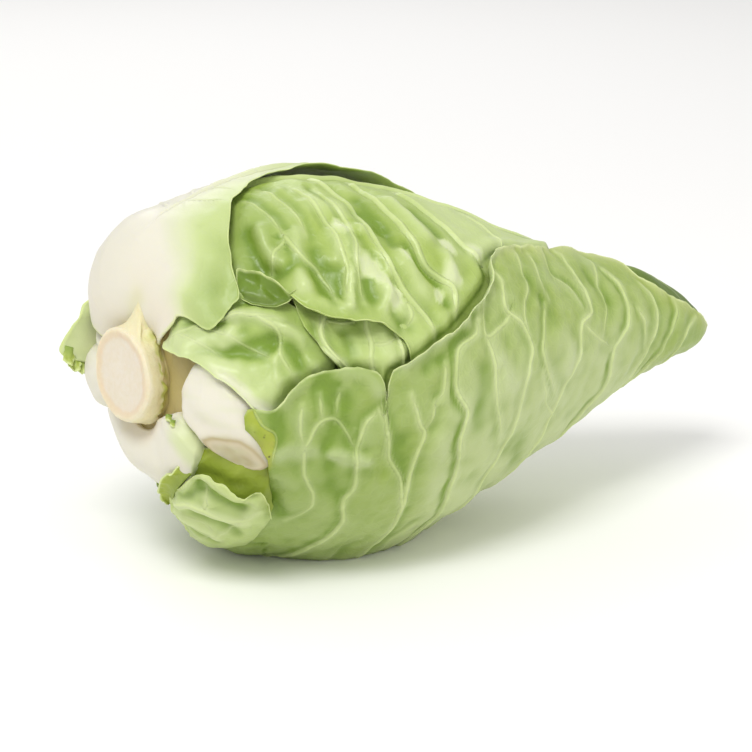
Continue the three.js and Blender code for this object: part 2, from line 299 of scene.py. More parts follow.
def shell(mesh, outer, normal, thick, **values):
    """A closed shell: the outer grid, the same grid moved in by thick along its normals, taken at every
    second row and column, and round the border a rim whose middle line stands out by 0.42 of the
    thickness, as a rounded edge. The outer grid has odd numbers of rows and columns."""
    rows, cols = outer.shape[:2]
    thick = np.broadcast_to(thick, (rows, cols))[..., None]
    inner = outer - normal * thick
    out = np.zeros_like(outer)
    out[0], out[-1] = outer[0] - outer[1], outer[-1] - outer[-2]
    out[1:-1, 0], out[1:-1, -1] = outer[1:-1, 0] - outer[1:-1, 1], outer[1:-1, -1] - outer[1:-1, -2]
    middle = border((outer + inner) / 2 + unit(out) * 0.42 * np.minimum(thick, THICKEST_RIM))
    inner = inner[::2, ::2]
    n, m = rows * cols, len(middle)
    ring = border(np.arange(n).reshape(rows, cols))
    mid = n + np.arange(m)
    few = border(n + m + np.arange(inner.shape[0] * inner.shape[1]).reshape(inner.shape[:2]))
    mid_nxt, few_nxt = np.roll(mid, -1), np.roll(few, -1)
    faces = np.concatenate([
        grid_faces(rows, cols),
        grid_faces(*inner.shape[:2], n + m, flip=True),
        np.stack([ring, np.roll(ring, -1), mid_nxt, mid], -1),
    ])
    threes = np.concatenate([
        np.stack([mid[::2], mid[1::2], few], -1),
        np.stack([mid[1::2], few_nxt, few], -1),
        np.stack([mid[1::2], mid_nxt[1::2], few_nxt], -1),
    ])
    whole = {}
    for k, v in values.items():
        v = np.broadcast_to(v, (rows, cols))
        whole[k] = np.concatenate([v.ravel(), border(v), v[::2, ::2].ravel()])
    points = np.concatenate([outer.reshape(-1, 3), middle, inner.reshape(-1, 3)])
    mesh.add(points, faces, threes, **whole)


# ---- leaves --------------------------------------------------------------------------------------------
def edge_share(edge):
    """How far along an edge each of its points is. The run t counts most, but a stretch never counts
    less than 0.4 of its length, so that a notch or a square corner gets rows of its own."""
    go = travelled(np.maximum(np.abs(np.diff(edge[:, 0])), 0.4 * distance(*edge.T)))
    return go / go[-1], go[-1]


def soften(a, sigma):
    """Rounds the corners of a line of rows with a Gaussian of sigma rows, its ends held."""
    if sigma < 0.3:
        return a
    k = np.arange(-int(3 * sigma) - 1, int(3 * sigma) + 2)
    w = np.exp(-0.5 * (k / sigma) ** 2)
    ends = np.pad(a, (len(k) // 2, len(k) // 2), mode="reflect", reflect_type="odd")
    return np.convolve(ends, w / w.sum(), "valid")


FIRST, SECOND = 0, 1


class Leaf:
    """One leaf blade between two edges, each a list of (t, turn). Rows of the grid join the edges with
    straight lines in t and turn; columns are crowded towards both edges. The grid's spacing is cell, the
    edges' corners are rounded over corner and nicked by ragged, one number for each, all in mm. start,
    rows of (turn, t), bends the first row and, less and less, the rows after it. Heights are added step
    by step by its maker."""

    def __init__(self, first, second, cell=1.4, corner=1.0, ragged=(0.8, 0.8), seed=1, start=None):
        edges = [np.array(edge, float) for edge in (first, second)]
        shares, lengths = zip(*[edge_share(edge) for edge in edges])
        rows = 2 * int(max(lengths) / cell / 2) + 3
        u = np.linspace(0, 1, rows)
        lines = []
        for k, (edge, along, depth) in enumerate(zip(edges, shares, ragged), 1):
            t, a = (soften(np.interp(u, along, c), corner / (max(lengths) / rows)) for c in edge.T)
            r = np.interp(t, RUN, RADIUS)
            length = travelled(np.hypot(np.diff(t), np.radians(np.diff(a)) * r[1:]))
            grain = seed * 7 + k
            nick = waver(length, 9, grain) + 0.7 * waver(length, 3.6, grain + 2)
            nick += 0.8 * np.minimum(waver(length, 2.2, grain + 3), 0.1)
            slide = 0.8 * waver(length, 6, grain + 4)
            lines += [t + depth * slide, a + np.degrees(depth * nick / np.maximum(r, 6))]
        t_first, a_first, t_second, a_second = lines
        middle = np.interp((t_first + t_second) / 2, RUN, RADIUS)
        width = np.hypot(t_second - t_first, np.radians(a_second - a_first) * middle)
        even = np.linspace(0, 1, 2 * int(np.percentile(width, 80) / cell / 2) + 9)
        v = even - 0.1 * np.sin(2 * np.pi * even)
        self.u, self.v = np.meshgrid(u, v, indexing="ij")
        self.t0 = t_first[:, None] * (1 - v) + t_second[:, None] * v
        self.a0 = a_first[:, None] * (1 - v) + a_second[:, None] * v
        if start:
            shift = table(start, self.a0[0]) - self.t0[0]
            self.t0 += shift * fall(0, 0.14, self.u)
        self.t, self.a, self.seed = self.t0, self.a0, seed
        self.lift, self.height, self.bump = np.zeros((3, *self.t.shape))
        # How far each point is from both edges and both ends, along the plain head.
        self.base = on_head(self.t, self.a, 0)
        self.from_first = np.apply_along_axis(travelled, 1, self.steps(1))
        self.width = self.from_first[:, -1:]
        self.from_second = self.width - self.from_first
        self.from_start = np.apply_along_axis(travelled, 0, self.steps(0))
        self.from_end = self.from_start[-1:] - self.from_start
        self.from_edge = np.minimum(self.from_first, self.from_second)

    def steps(self, way):
        """The grid's spacing on the plain head, along its rows (1) or across them (0)."""
        return np.linalg.norm(np.diff(self.base, axis=way), axis=-1)

    def curl(self, side, width, radius):
        """Rolls an edge outwards: within width of the edge the blade follows a circle of that radius, so
        a point that lay d inside the bend goes to radius*sin(d/radius) along and rises by
        radius*(1-cos(d/radius)). width and radius are numbers or one value per row."""
        rows = len(self.t)
        width = np.broadcast_to(np.asarray(width, float).reshape(-1, 1), (rows, 1))
        radius = np.broadcast_to(np.asarray(radius, float).reshape(-1, 1), (rows, 1))
        away = self.from_first if side == FIRST else self.from_second
        d = np.maximum(width - away, 0)
        to = np.where(d > 0, width - radius * np.sin(d / radius), away)
        self.lift += radius * (1 - np.cos(d / radius))
        if side == SECOND:
            to = self.width - to
        t, a = self.t.copy(), self.a.copy()
        for i in range(rows):
            t[i] = np.interp(to[i], self.from_first[i], self.t[i])
            a[i] = np.interp(to[i], self.from_first[i], self.a[i])
        self.t, self.a = t, a

    def surface(self):
        """Adds up the heights and works out the outer face and its normals."""
        total = self.height + self.lift + swell(self.base, self.t) + self.bump
        self.outer = settled(on_head(self.t, self.a, total))
        self.normal = normals_of(self.outer)
        if np.mean(dot(self.normal, on_head(self.t, self.a, total + 1) - self.outer)) < 0:
            raise ValueError("the second edge must be the one with the larger turn")
        return self.outer

    def find(self, t, a):
        """Grid places (row, column, as fractions) of points given as t and turn: the nearest point of a
        coarser grid, then a few steps of Newton's rule on the grid's own t and turn."""
        step = 5
        t_few, a_few = self.t0[::step, ::step], self.a0[::step, ::step]
        r = np.interp(t, RUN, RADIUS)
        gap = np.square(t_few.ravel()[None] - t[:, None])
        gap += np.square(np.radians(a_few.ravel()[None] - a[:, None]) * r[:, None])
        i, j = (float(step) * k for k in divmod(np.argmin(gap, axis=1), t_few.shape[1]))
        slopes = [np.gradient(f, axis=k) for f in (self.t0, self.a0) for k in (0, 1)]
        for _ in range(6):
            ti, tj, ai, aj = (read(s, i, j) for s in slopes)
            et, ea = t - read(self.t0, i, j), a - read(self.a0, i, j)
            det = ti * aj - tj * ai
            det = np.where(np.abs(det) < 1e-9, 1e-9, det)
            i = np.clip(i + np.clip((et * aj - ea * tj) / det, -6, 6), 0, len(self.t0) - 1.001)
            j = np.clip(j + np.clip((ea * ti - et * ai) / det, -6, 6), 0, self.t0.shape[1] - 1.001)
        return i, j


def read(field, i, j):
    """Reads a grid between its points, straight both ways."""
    i = np.clip(i, 0, field.shape[0] - 1.001)
    j = np.clip(j, 0, field.shape[1] - 1.001)
    i0, j0 = i.astype(int), j.astype(int)
    fi, fj = i - i0, j - j0
    if field.ndim == 3:
        fi, fj = fi[..., None], fj[..., None]
    top = field[i0, j0] * (1 - fj) + field[i0, j0 + 1] * fj
    low = field[i0 + 1, j0] * (1 - fj) + field[i0 + 1, j0 + 1] * fj
    return top * (1 - fi) + low * fi


def path(points, spacing=1.3, wander=0.5, seed=0):
    """A vein's line through (t, turn) points: a smooth curve, sampled every spacing mm, that wanders a
    little sideways, as rows of (t, turn)."""
    points = np.array(points, float)
    s = travelled(distance(*points.T))
    if len(points) == 2:
        points = np.array([points[0], points.mean(0), points[1]])
        s = np.array([0, s[-1] / 2, s[-1]])
    at = np.linspace(0, s[-1], max(int(s[-1] / spacing), 4) + 1)
    line = smooth_curve(np.column_stack([s, points]), at)
    fade = ease(0, 4, at) * ease(0, 4, s[-1] - at)
    line[:, 0] += wander * fade * waver(at, 7, seed + 11)
    line[:, 1] += np.degrees(wander * fade * waver(at, 6, seed + 12) / np.interp(line[:, 0], RUN, RADIUS))
    return line


def vein_tube(mesh, leaf, line, wide, high, end):
    """The crest of a vein: a low closed tube along the line. Its section is a bell curve wide to each
    side and high in the middle, whose foot sinks just under the blade, and only this crest is shaded as
    a curve. It shrinks to the share end, runs out over its last 6 mm, and takes the blade's own marks."""
    i, j = leaf.find(line[:, 0], line[:, 1])
    centre = read(leaf.outer, i, j)
    up = read(leaf.normal, i, j)
    side = np.cross(up, unit(np.gradient(centre, axis=0)))
    # How many rows and columns lie in 1 mm sideways, from the lengths and the angle of the grid's steps.
    down, right = (read(np.gradient(leaf.outer, axis=k), i, j) for k in (0, 1))
    high2, wide2, skew = dot(down, down), dot(right, right), dot(down, right)
    area = np.maximum(high2 * wide2 - skew * skew, 1e-9)
    step_i = (wide2 * dot(side, down) - skew * dot(side, right)) / area
    step_j = (high2 * dot(side, right) - skew * dot(side, down)) / area
    n = len(line)
    mm = travelled(np.linalg.norm(np.diff(centre, axis=0), axis=1))
    size = 1 + (end - 1) * mm / mm[-1]
    tip = np.minimum(ease(-0.1, 2.5, mm), ease(-0.1, 6.0, mm[-1] - mm))
    across = np.array([-1.0, -0.68, -0.4, -0.14, 0.14, 0.4, 0.68, 1.0])
    lift = bell(across * 1.5) - 0.14
    reach = wide * size * (0.35 + 0.65 * tip)
    ring = []
    for x, h in zip(across, lift):
        foot = read(leaf.outer, i + step_i * reach * x, j + step_j * reach * x)
        ring.append(foot + up * (high * size * h * tip - 0.05)[:, None])
    for x in (0.8, -0.8):
        ring.append(centre + side * (reach * x)[:, None] - up * 0.35)
    points = np.stack(ring, axis=1)
    k = points.shape[1]
    rows, cols = np.meshgrid(np.arange(n - 1), np.arange(k), indexing="ij")
    faces = [ring_place(rows + r, cols + c, k) for r, c in ((1, 0), (1, 1), (0, 1), (0, 0))]
    faces = np.stack(faces, -1).reshape(-1, 4)
    caps = []
    for row, turn in ((0, 1), (n - 1, -1)):
        ids = row * k + np.arange(k)
        caps += [ids[[a, a + 1, k - 2 - a, k - 1 - a]][::turn] for a in range(k // 2 - 1)]
    own = {key: read(v, i, j)[:, None] + np.zeros((1, k)) for key, v in leaf.marks.items()}
    crest = np.concatenate([np.clip(lift / lift.max(), 0, 1), [0, 0]])[None]
    own["vein"] = own.get("vein", 0) * (0.5 + 0.5 * crest) + 0.25 * crest * (size * tip)[:, None]
    own["vein"] = np.clip(own["vein"] * (1 - 0.8 * own.get("white", 0)), 0, 1)
    top = np.concatenate([np.tile(np.arange(k) < len(across) - 1, n - 1), np.zeros(len(caps), bool)])
    mesh.add(points, np.concatenate([faces, np.array(caps)]), smooth=top, **own)


# ---- finishes ------------------------------------------------------------------------------------------
def colour(code):
    """An sRGB hex colour as linear red, green, blue and alpha."""
    c = np.array([int(code[i:i + 2], 16) for i in (1, 3, 5)]) / 255
    return (*np.where(c <= 0.04045, c / 12.92, ((c + 0.055) / 1.055) ** 2.4), 1.0)


def node(tree, kind, inputs=None, span=(), stops=(), **settings):
    """Adds one shader node: its settings, then its inputs by name or number, each a value or a socket.
    span is the range that a MapRange node reads, low and high, then the one it gives, and stops are the
    places and colours of a ramp."""
    made = tree.nodes.new("ShaderNode" + kind)
    for key, value in settings.items():
        setattr(made, key, value)
    for _ in stops[2:]:
        made.color_ramp.elements.new(0.5)
    for k, (place, tint) in enumerate(stops):
        made.color_ramp.elements[k].position = place
        made.color_ramp.elements[k].color = tint
    for key, value in {**(inputs or {}), **dict(enumerate(span, 1))}.items():
        socket = made.inputs[key]
        if isinstance(value, bpy.types.NodeSocket):
            tree.links.new(value, socket)
        else:
            socket.default_value = value
    return made


# A Mix node's sockets for colours: the share, the colour beneath, the one laid over it, the result.
SHARE, BENEATH, OVER, MIXED = 0, 6, 7, 2


def new_finish(name):
    """An empty material with a Principled shader wired to its output."""
    finish = bpy.data.materials.new(name)
    finish.use_nodes = True
    tree = finish.node_tree
    tree.nodes.clear()
    shader = tree.nodes.new("ShaderNodeBsdfPrincipled")
    out = tree.nodes.new("ShaderNodeOutputMaterial")
    tree.links.new(shader.outputs[0], out.inputs[0])
    return finish, tree, shader


def leaf_finish(name, tissue, cool, pale, base, vein, rim, rough=0.42, gloss=0.5, network=0.5):
    """Cabbage leaf, grown and waxy: a pale green skin over a net of veins, white where it thickens to its
    base. It gives a soft satin shine, a faint grey bloom and light that passes a little way into it. The
    colours are the skin's own tissue, its cool patches, its pale bloom, the white base, veins and rim."""
    finish, t, shader = new_finish(name)
    mark = {m: node(t, "Attribute", attribute_name=m).outputs["Fac"] for m in MARKS}
    place = node(t, "TexCoord").outputs["Object"]
    # Colour patches 18 mm across, and a bloom of wax that drifts over 45 mm.
    patch = node(t, "TexNoise", {"Vector": place, "Scale": 1 / 0.018, "Detail": 3.0, "Roughness": 0.55})
    bloom = node(t, "TexNoise", {"Vector": place, "Scale": 1 / 0.045, "Detail": 4.0, "Roughness": 0.6})
    waxy = node(t, "MapRange", {"Value": bloom.outputs["Fac"]}, (0.4, 0.7, 0.0, 0.3))
    # The finest veins: cells 3.6 mm across, their lines bent by noise so that none is straight.
    bend = node(t, "TexNoise", {"Vector": place, "Scale": 1 / 0.005, "Detail": 1.0})
    drift = node(t, "VectorMath", {0: bend.outputs["Color"], 1: (0.5, 0.5, 0.5)}, operation="SUBTRACT")
    drift = node(t, "VectorMath", {0: drift.outputs[0], "Scale": 0.003}, operation="SCALE")
    bent = node(t, "VectorMath", {0: place, 1: drift.outputs[0]}, operation="ADD")
    fine = node(t, "TexVoronoi", {"Vector": bent.outputs[0], "Scale": 1 / 0.0036},
                feature="DISTANCE_TO_EDGE")
    calm = node(t, "MapRange", {"Value": mark["white"]}, (0.0, 0.8, network, 0.1 * network))
    line = node(t, "MapRange", {"Value": fine.outputs["Distance"]}, (0.0, 0.2, calm.outputs[0], 0.0),
                interpolation_type="SMOOTHSTEP").outputs[0]
    faint = node(t, "MapRange", {"Value": line}, (0.0, 1.0, 0.0, 0.12))
    grain = node(t, "TexNoise", {"Vector": place, "Scale": 1 / 0.0009, "Detail": 2.0})
    # Specks 1 mm wide, where the leaf is marked as spoiled.
    dots = node(t, "TexVoronoi", {"Vector": place, "Scale": 1 / 0.0022}).outputs["Distance"]
    dots = node(t, "MapRange", {"Value": dots}, (0.1, 0.26, mark["speck"], 0.0))
    thick = node(t, "MapRange", {"Value": mark["white"]}, (0.0, 0.55))
    white = node(t, "MapRange", {"Value": mark["white"]}, (0.35, 1.0))
    mottle = node(t, "MapRange", {"Value": patch.outputs["Fac"]}, (0.35, 0.68))
    skin = colour(tissue)
    # Each layer is a share and the colour it brings, from the leaf's own skin outwards.
    for share, tint in (
        # light, deep and the darkest green are largely painted highlight and shade; rim partly highlight.
        (mottle.outputs[0], cool), (waxy.outputs[0], pale), (faint.outputs[0], vein), (mark["light"], pale),
        (mark["deep"], "#769231"), (mark["dark"], "#4a5b26"), (mark["warm"], "#afb93c"),
        (thick.outputs[0], pale), (white.outputs[0], base), (mark["vein"], vein), (mark["rim"], rim),
        (mark["blush"], "#dcc8ac"), (mark["tan"], "#b09c64"), (dots.outputs[0], "#5a5a2a"),
    ):
        skin = node(t, "Mix", {SHARE: share, BENEATH: skin, OVER: colour(tint)}, data_type="RGBA")
        skin = skin.outputs[MIXED]
    t.links.new(skin, shader.inputs["Base Color"])
    soft = node(t, "MapRange", {"Value": bloom.outputs["Fac"]}, (0.3, 0.7, rough - 0.06, rough + 0.09))
    t.links.new(soft.outputs[0], shader.inputs["Roughness"])
    shader.inputs["IOR"].default_value = 1.42
    shader.inputs["Specular IOR Level"].default_value = gloss
    shader.inputs["Subsurface Weight"].default_value = 0.15
    shader.inputs["Subsurface Radius"].default_value = (0.9, 1.0, 0.35)
    shader.inputs["Subsurface Scale"].default_value = 0.0005
    # Relief of the finest veins and of the skin's own grain.
    rough_skin = node(t, "MapRange", {"Value": grain.outputs["Fac"]}, (0.0, 1.0, 0.0, 0.25))
    height = node(t, "Math", {0: line, 1: rough_skin.outputs[0]}, operation="ADD").outputs[0]
    bump = node(t, "Bump", {"Strength": 0.5, "Distance": 0.00025, "Height": height})
    t.links.new(bump.outputs[0], shader.inputs["Normal"])
    return finish


# What each point of a leaf is marked with, as shares from 0 to 1 that the finish turns into colours.
# Marks light and deep also hold painted highlight and shade; the darkest one is painted shade alone.
MARKS = ("white", "vein", "rim", "light", "deep", "dark", "warm", "blush", "tan", "speck")
OUTER = leaf_finish("waxy_outer_leaf", "#93a846", "#a0b367", "#bdc992", "#e4e1cd", "#d3df9d", "#d6e0a2")
PALE = leaf_finish("pale_inner_leaf", "#a2b857", "#afc370", "#c9d59a", "#dedac9", "#cfdb9c", "#d0dc96",
                   rough=0.38, network=0.3)
GLOSSY = leaf_finish("glossy_crinkled_leaf", "#97ae47", "#a8bc63", "#cad79a", "#e4e1cd", "#cedb98",
                     "#cfdc92", rough=0.35, gloss=0.6, network=0.35)


# ---- the leaves -----------------------------------------------------------------------------------------
def relief(leaf, reach=4.0):
    """How far the leaf stands above its own surroundings: its height less the same height smoothed by
    a bell of reach mm, which is many small averages of each point with its neighbours."""
    whole = leaf.bump + leaf.lift
    smooth = whole
    for _ in range(int(2 * (reach / np.mean(leaf.steps(0))) ** 2)):
        wide = np.pad(smooth, 1, mode="edge")
        wide = (wide[:-2] + 2 * wide[1:-1] + wide[2:]) / 4
        smooth = (wide[:, :-2] + 2 * wide[:, 1:-1] + wide[:, 2:]) / 4
    return whole - smooth


def leaf_mesh(leaf, veins, thick=BLADE, relief_shading=0.35, **marks):
    """The leaf's closed shell, thinner towards its edges, with a pale, broken rim that is partly a painted
    highlight, and its veins. Relief is painted too: highlight where it stands out, shade in its hollows."""
    mesh = Mesh(MARKS)
    leaf.surface()
    stands = relief(leaf) * (1 - marks.get("white", 0))
    # Painted highlight on what stands out and painted shade in hollows, scaled by the relief-shading share.
    marks["light"] = marks.get("light", 0) + 0.45 * relief_shading * np.clip(stands, 0, 1.2)
    marks["deep"] = marks.get("deep", 0) + 0.7 * relief_shading * np.clip(-stands, 0, 1.0)
    rim = marks.pop("rim", 1.0)
    near = np.minimum(leaf.from_edge, np.minimum(leaf.from_start, leaf.from_end) + 3)
    leaf.marks = {k: np.clip(v, 0, 1) + 0 * leaf.t for k, v in marks.items()}
    thin = (0.4 + 0.6 * ease(0, 4, near)) * thick
    broken = 0.5 + 0.7 * ripple(leaf.base, 7, leaf.seed) + 0.4 * ripple(leaf.base, 2.5, leaf.seed)
    broken = np.clip(broken, 0.15, 0.95)
    shell(mesh, leaf.outer, leaf.normal, thin, rim=rim * broken * fall(0.1, 1.0, near), **leaf.marks)
    for line, wide, high, end in veins:
        vein_tube(mesh, leaf, line, wide, high, end)
    return mesh


def nearest(leaf, lines):
    """For every grid point, on the plain head: how far the nearest of some lines is, how far to that
    line's left the point lies, and which line it is. Distances are taken square to the line's own way,
    so that the points of the line leave no beads."""
    spots = [on_head(line[:, 0], line[:, 1], 0) for line in lines]
    ways = unit(np.concatenate([np.gradient(s, axis=0) for s in spots]))
    owner = np.repeat(np.arange(len(lines)), [len(s) for s in spots])
    spots = np.concatenate(spots)
    grid = leaf.base.reshape(-1, 3)
    least, best = np.full(len(grid), 1e9), np.zeros(len(grid), np.int64)
    chunk = 400
    for k in range(0, len(spots), chunk):
        part = spots[k:k + chunk]
        gap = np.sum(grid**2, 1)[:, None] + np.sum(part**2, 1)[None] - 2 * grid @ part.T
        one = gap.argmin(axis=1)
        value = np.take_along_axis(gap, one[:, None], 1)[:, 0]
        best = np.where(value < least, one + k, best)
        least = np.minimum(value, least)
    off = grid - spots[best]
    along = dot(off, ways[best])
    side = dot(off, np.cross(normals_of(leaf.base).reshape(-1, 3), ways[best]))
    gap = np.hypot(side, np.maximum(np.abs(along) - 0.8, 0))
    shape = leaf.t.shape
    return gap.reshape(shape), side.reshape(shape), owner[best].reshape(shape)


def folds(leaf, rows):
    """Ridges and hollows: each row is (height, half width, places), and adds height * exp(-(d / half
    width)^2), where d is the distance from the line through the places."""
    total = np.zeros_like(leaf.t)
    for k, (high, wide, places) in enumerate(rows):
        total += high * bell(nearest(leaf, [path(places, 1.0, 0.4, k)])[0] / wide)
    return total


def laterals(stations, rib, reach, rise, seed):
    """Side veins from the midrib towards an edge: each starts at a station t on the turn rib and goes to
    the turn reach, gaining rise in t by the power 1.2 of the way."""
    dice = np.random.default_rng(seed)
    w = np.linspace(0, 1, 8)
    lines = []
    for k, t in enumerate(stations):
        go = t + rise * w**1.2 + dice.normal(0, 1.6, 8) * ease(0, 0.3, w)
        lines.append(np.column_stack([go, rib + (reach * (1 - 0.08 * (k % 2)) - rib) * w]))
    return lines


def links(lines, seed, each=2, low=0.2, high=0.92):
    """Short veins that join neighbouring side veins at a slant, so that the net closes into cells."""
    dice = np.random.default_rng(seed)
    found = []
    for one, two in zip(lines[:-1], lines[1:]):
        one, two = np.array(one, float), np.array(two, float)
        for _ in range(each):
            w = dice.uniform(low, high)
            v = np.clip(w + dice.uniform(-0.14, 0.14), 0, 1)
            a = np.array([np.interp(w, np.linspace(0, 1, len(one)), one[:, c]) for c in (0, 1)])
            b = np.array([np.interp(v, np.linspace(0, 1, len(two)), two[:, c]) for c in (0, 1)])
            found.append(np.array([a, (a + b) / 2 + dice.normal(0, 1.2, 2), b]))
    return found


def inside(leaf, line, margin=1.2):
    """The longest stretch of a line that lies on the leaf, at least margin from its edges."""
    i, j = leaf.find(line[:, 0], line[:, 1])
    off = np.hypot(read(leaf.t0, i, j) - line[:, 0],
                   np.radians(read(leaf.a0, i, j) - line[:, 1]) * np.interp(line[:, 0], RUN, RADIUS))
    edge = np.minimum(leaf.from_edge, np.minimum(leaf.from_start, leaf.from_end))
    good = (off < 0.5) & (read(edge, i, j) > margin)
    best, start = (0, 0), None
    for k, ok in enumerate([*good, False]):
        if ok and start is None:
            start = k
        if not ok and start is not None:
            best = max(best, (k - start, start))
            start = None
    return line[best[1]:best[1] + best[0]]


def grow(leaf, groups, rows, pillow, crumple, seed, lean=0.6):
    """Gives a leaf its relief. A group of veins is (half width, height, share of that size at the far
    end, lines of places). The blade rises to each vein in a broad ridge and swells by pillow between
    veins; on one side of each vein it lies lower than on the other, by a chance share of lean. It follows
    the folds in rows, and crumple is the height of its small unevenness. Returns the veins' lines, cut to
    the leaf, and marks: painted shade in hollows and on low flanks, painted highlight on swellings, and a
    paler band along the veins that is partly painted highlight."""
    dice = np.random.default_rng(seed)
    veins = [(wide, high, end, line) for wide, high, end, lines in groups for line in lines]
    ready = []
    for k, (wide, high, end, places) in enumerate(veins):
        line = inside(leaf, path(places, seed=seed * 50 + k))
        if len(line) > 4:
            ready.append((line, wide, high, end))
    gap, side, owner = nearest(leaf, [vein[0] for vein in ready])
    power = np.array([min(1.0, 0.2 + vein[2]) for vein in ready])[owner]
    power *= np.clip(0.8 + 0.5 * ripple(leaf.base, 13, seed + 5), 0.3, 1)
    low = dice.uniform(-1, 1, len(ready))[owner] * power
    form = folds(leaf, rows) if rows else 0 * leaf.t
    leaf.bump += form + pillow * (1 - bell(gap / 4)) + 0.65 * power * bell(gap / 2.0)
    leaf.bump += lean * low * np.tanh(side / 1.2) * bell(gap / 3.6)
    leaf.bump += crumple * (ripple(leaf.base, 10, seed) + 0.5 * ripple(leaf.base, 4.6, seed + 1))
    # Painted shade in hollows and on each vein's low flank, painted highlight on swellings.
    flank = np.clip(-np.tanh(side / 0.8) * low, 0, 1) * bell((gap - 1.9) / 1.7)
    deep = np.clip(-form / 2.0, 0, 0.9) + 0.8 * flank
    light = np.clip(form / 3.2, 0, 0.5) + 0.4 * power * bell(gap / 2.0)
    return ready, {"deep": deep, "light": light, "vein": 0.6 * power * bell(gap / 0.95)}


# The front leaf's free edge, from the stem to the tip, as (t, turn). Leaves beside it are lifted to meet it.
FRONT_EDGE = [
    (38.2, 0), (39.5, 2.5), (43, 2.5), (47, 2.5), (50, 5), (53, 9), (58, 12), (63, 13.2), (69, 14),
    (76, 13.4), (81.5, 12), (83.2, 8.5), (83.8, 2), (84.2, 3), (84.6, 7.5), (85.8, 12), (89.5, 13.2),
    (95, 15), (104.5, 19), (113.4, 23.1), (121.7, 28.2), (132.8, 35.6), (137.1, 40.9), (138.2, 46.2),
    (143.1, 49.6), (150.6, 54.3), (160.8, 58.1), (175.5, 61.5), (187.4, 69), (200, 77), (212, 83),
    (222, 83), (228.5, 76), (231, 66), (234.7, 59), (238, 52.5), (241.5, 49), (248.5, 44), (255.2, 39),
    (262, 34), (270.6, 28), (286, 20),
]


def patches(leaf, rows):
    """Uneven patches, each row (t, turn, half width). With d the distance over the half width, counted
    0.8 across the head and 0.7 upwards, and n noise, a patch is full where d + n < 0.6 and ends where
    that passes 1.1."""
    total = np.zeros_like(leaf.t)
    noise = 0.3 * ripple(leaf.base, 5, 8) + 0.15 * ripple(leaf.base, 2.2, 9)
    for t, turn, wide in rows:
        d = np.linalg.norm((leaf.base - on_head(t, turn, 0)) * (1, 0.8, 0.7), axis=-1) / wide
        total += fall(0.6, 1.1, d + noise)
    return np.clip(total, 0, 1)


def meet(leaf, edge, lift):
    """Lifts a leaf beside the free edge of the front leaf, by lift mm at 3.6 mm from it, so that the gap
    between them is narrow. Returns how far every point is from that edge."""
    gap, side, _ = nearest(leaf, [path(edge, 1.0, 0)])
    leaf.bump += lift * bell((np.where(side > 0, gap, -gap) - 3.6) / 3)
    return gap


def shaded(leaf, marks, reach=0.8):
    """Where the front leaf's free edge stands over a leaf, lifts that leaf and paints shade into the crevice.
    """
    close = bell(meet(leaf, FRONT_EDGE[8:34], 1.6) / reach)
    broken = np.clip(0.7 + 0.9 * ripple(leaf.base, 9, leaf.seed + 40), 0.1, 1)
    marks["deep"] += 0.7 * close
    marks["dark"] = 0.4 * close * broken


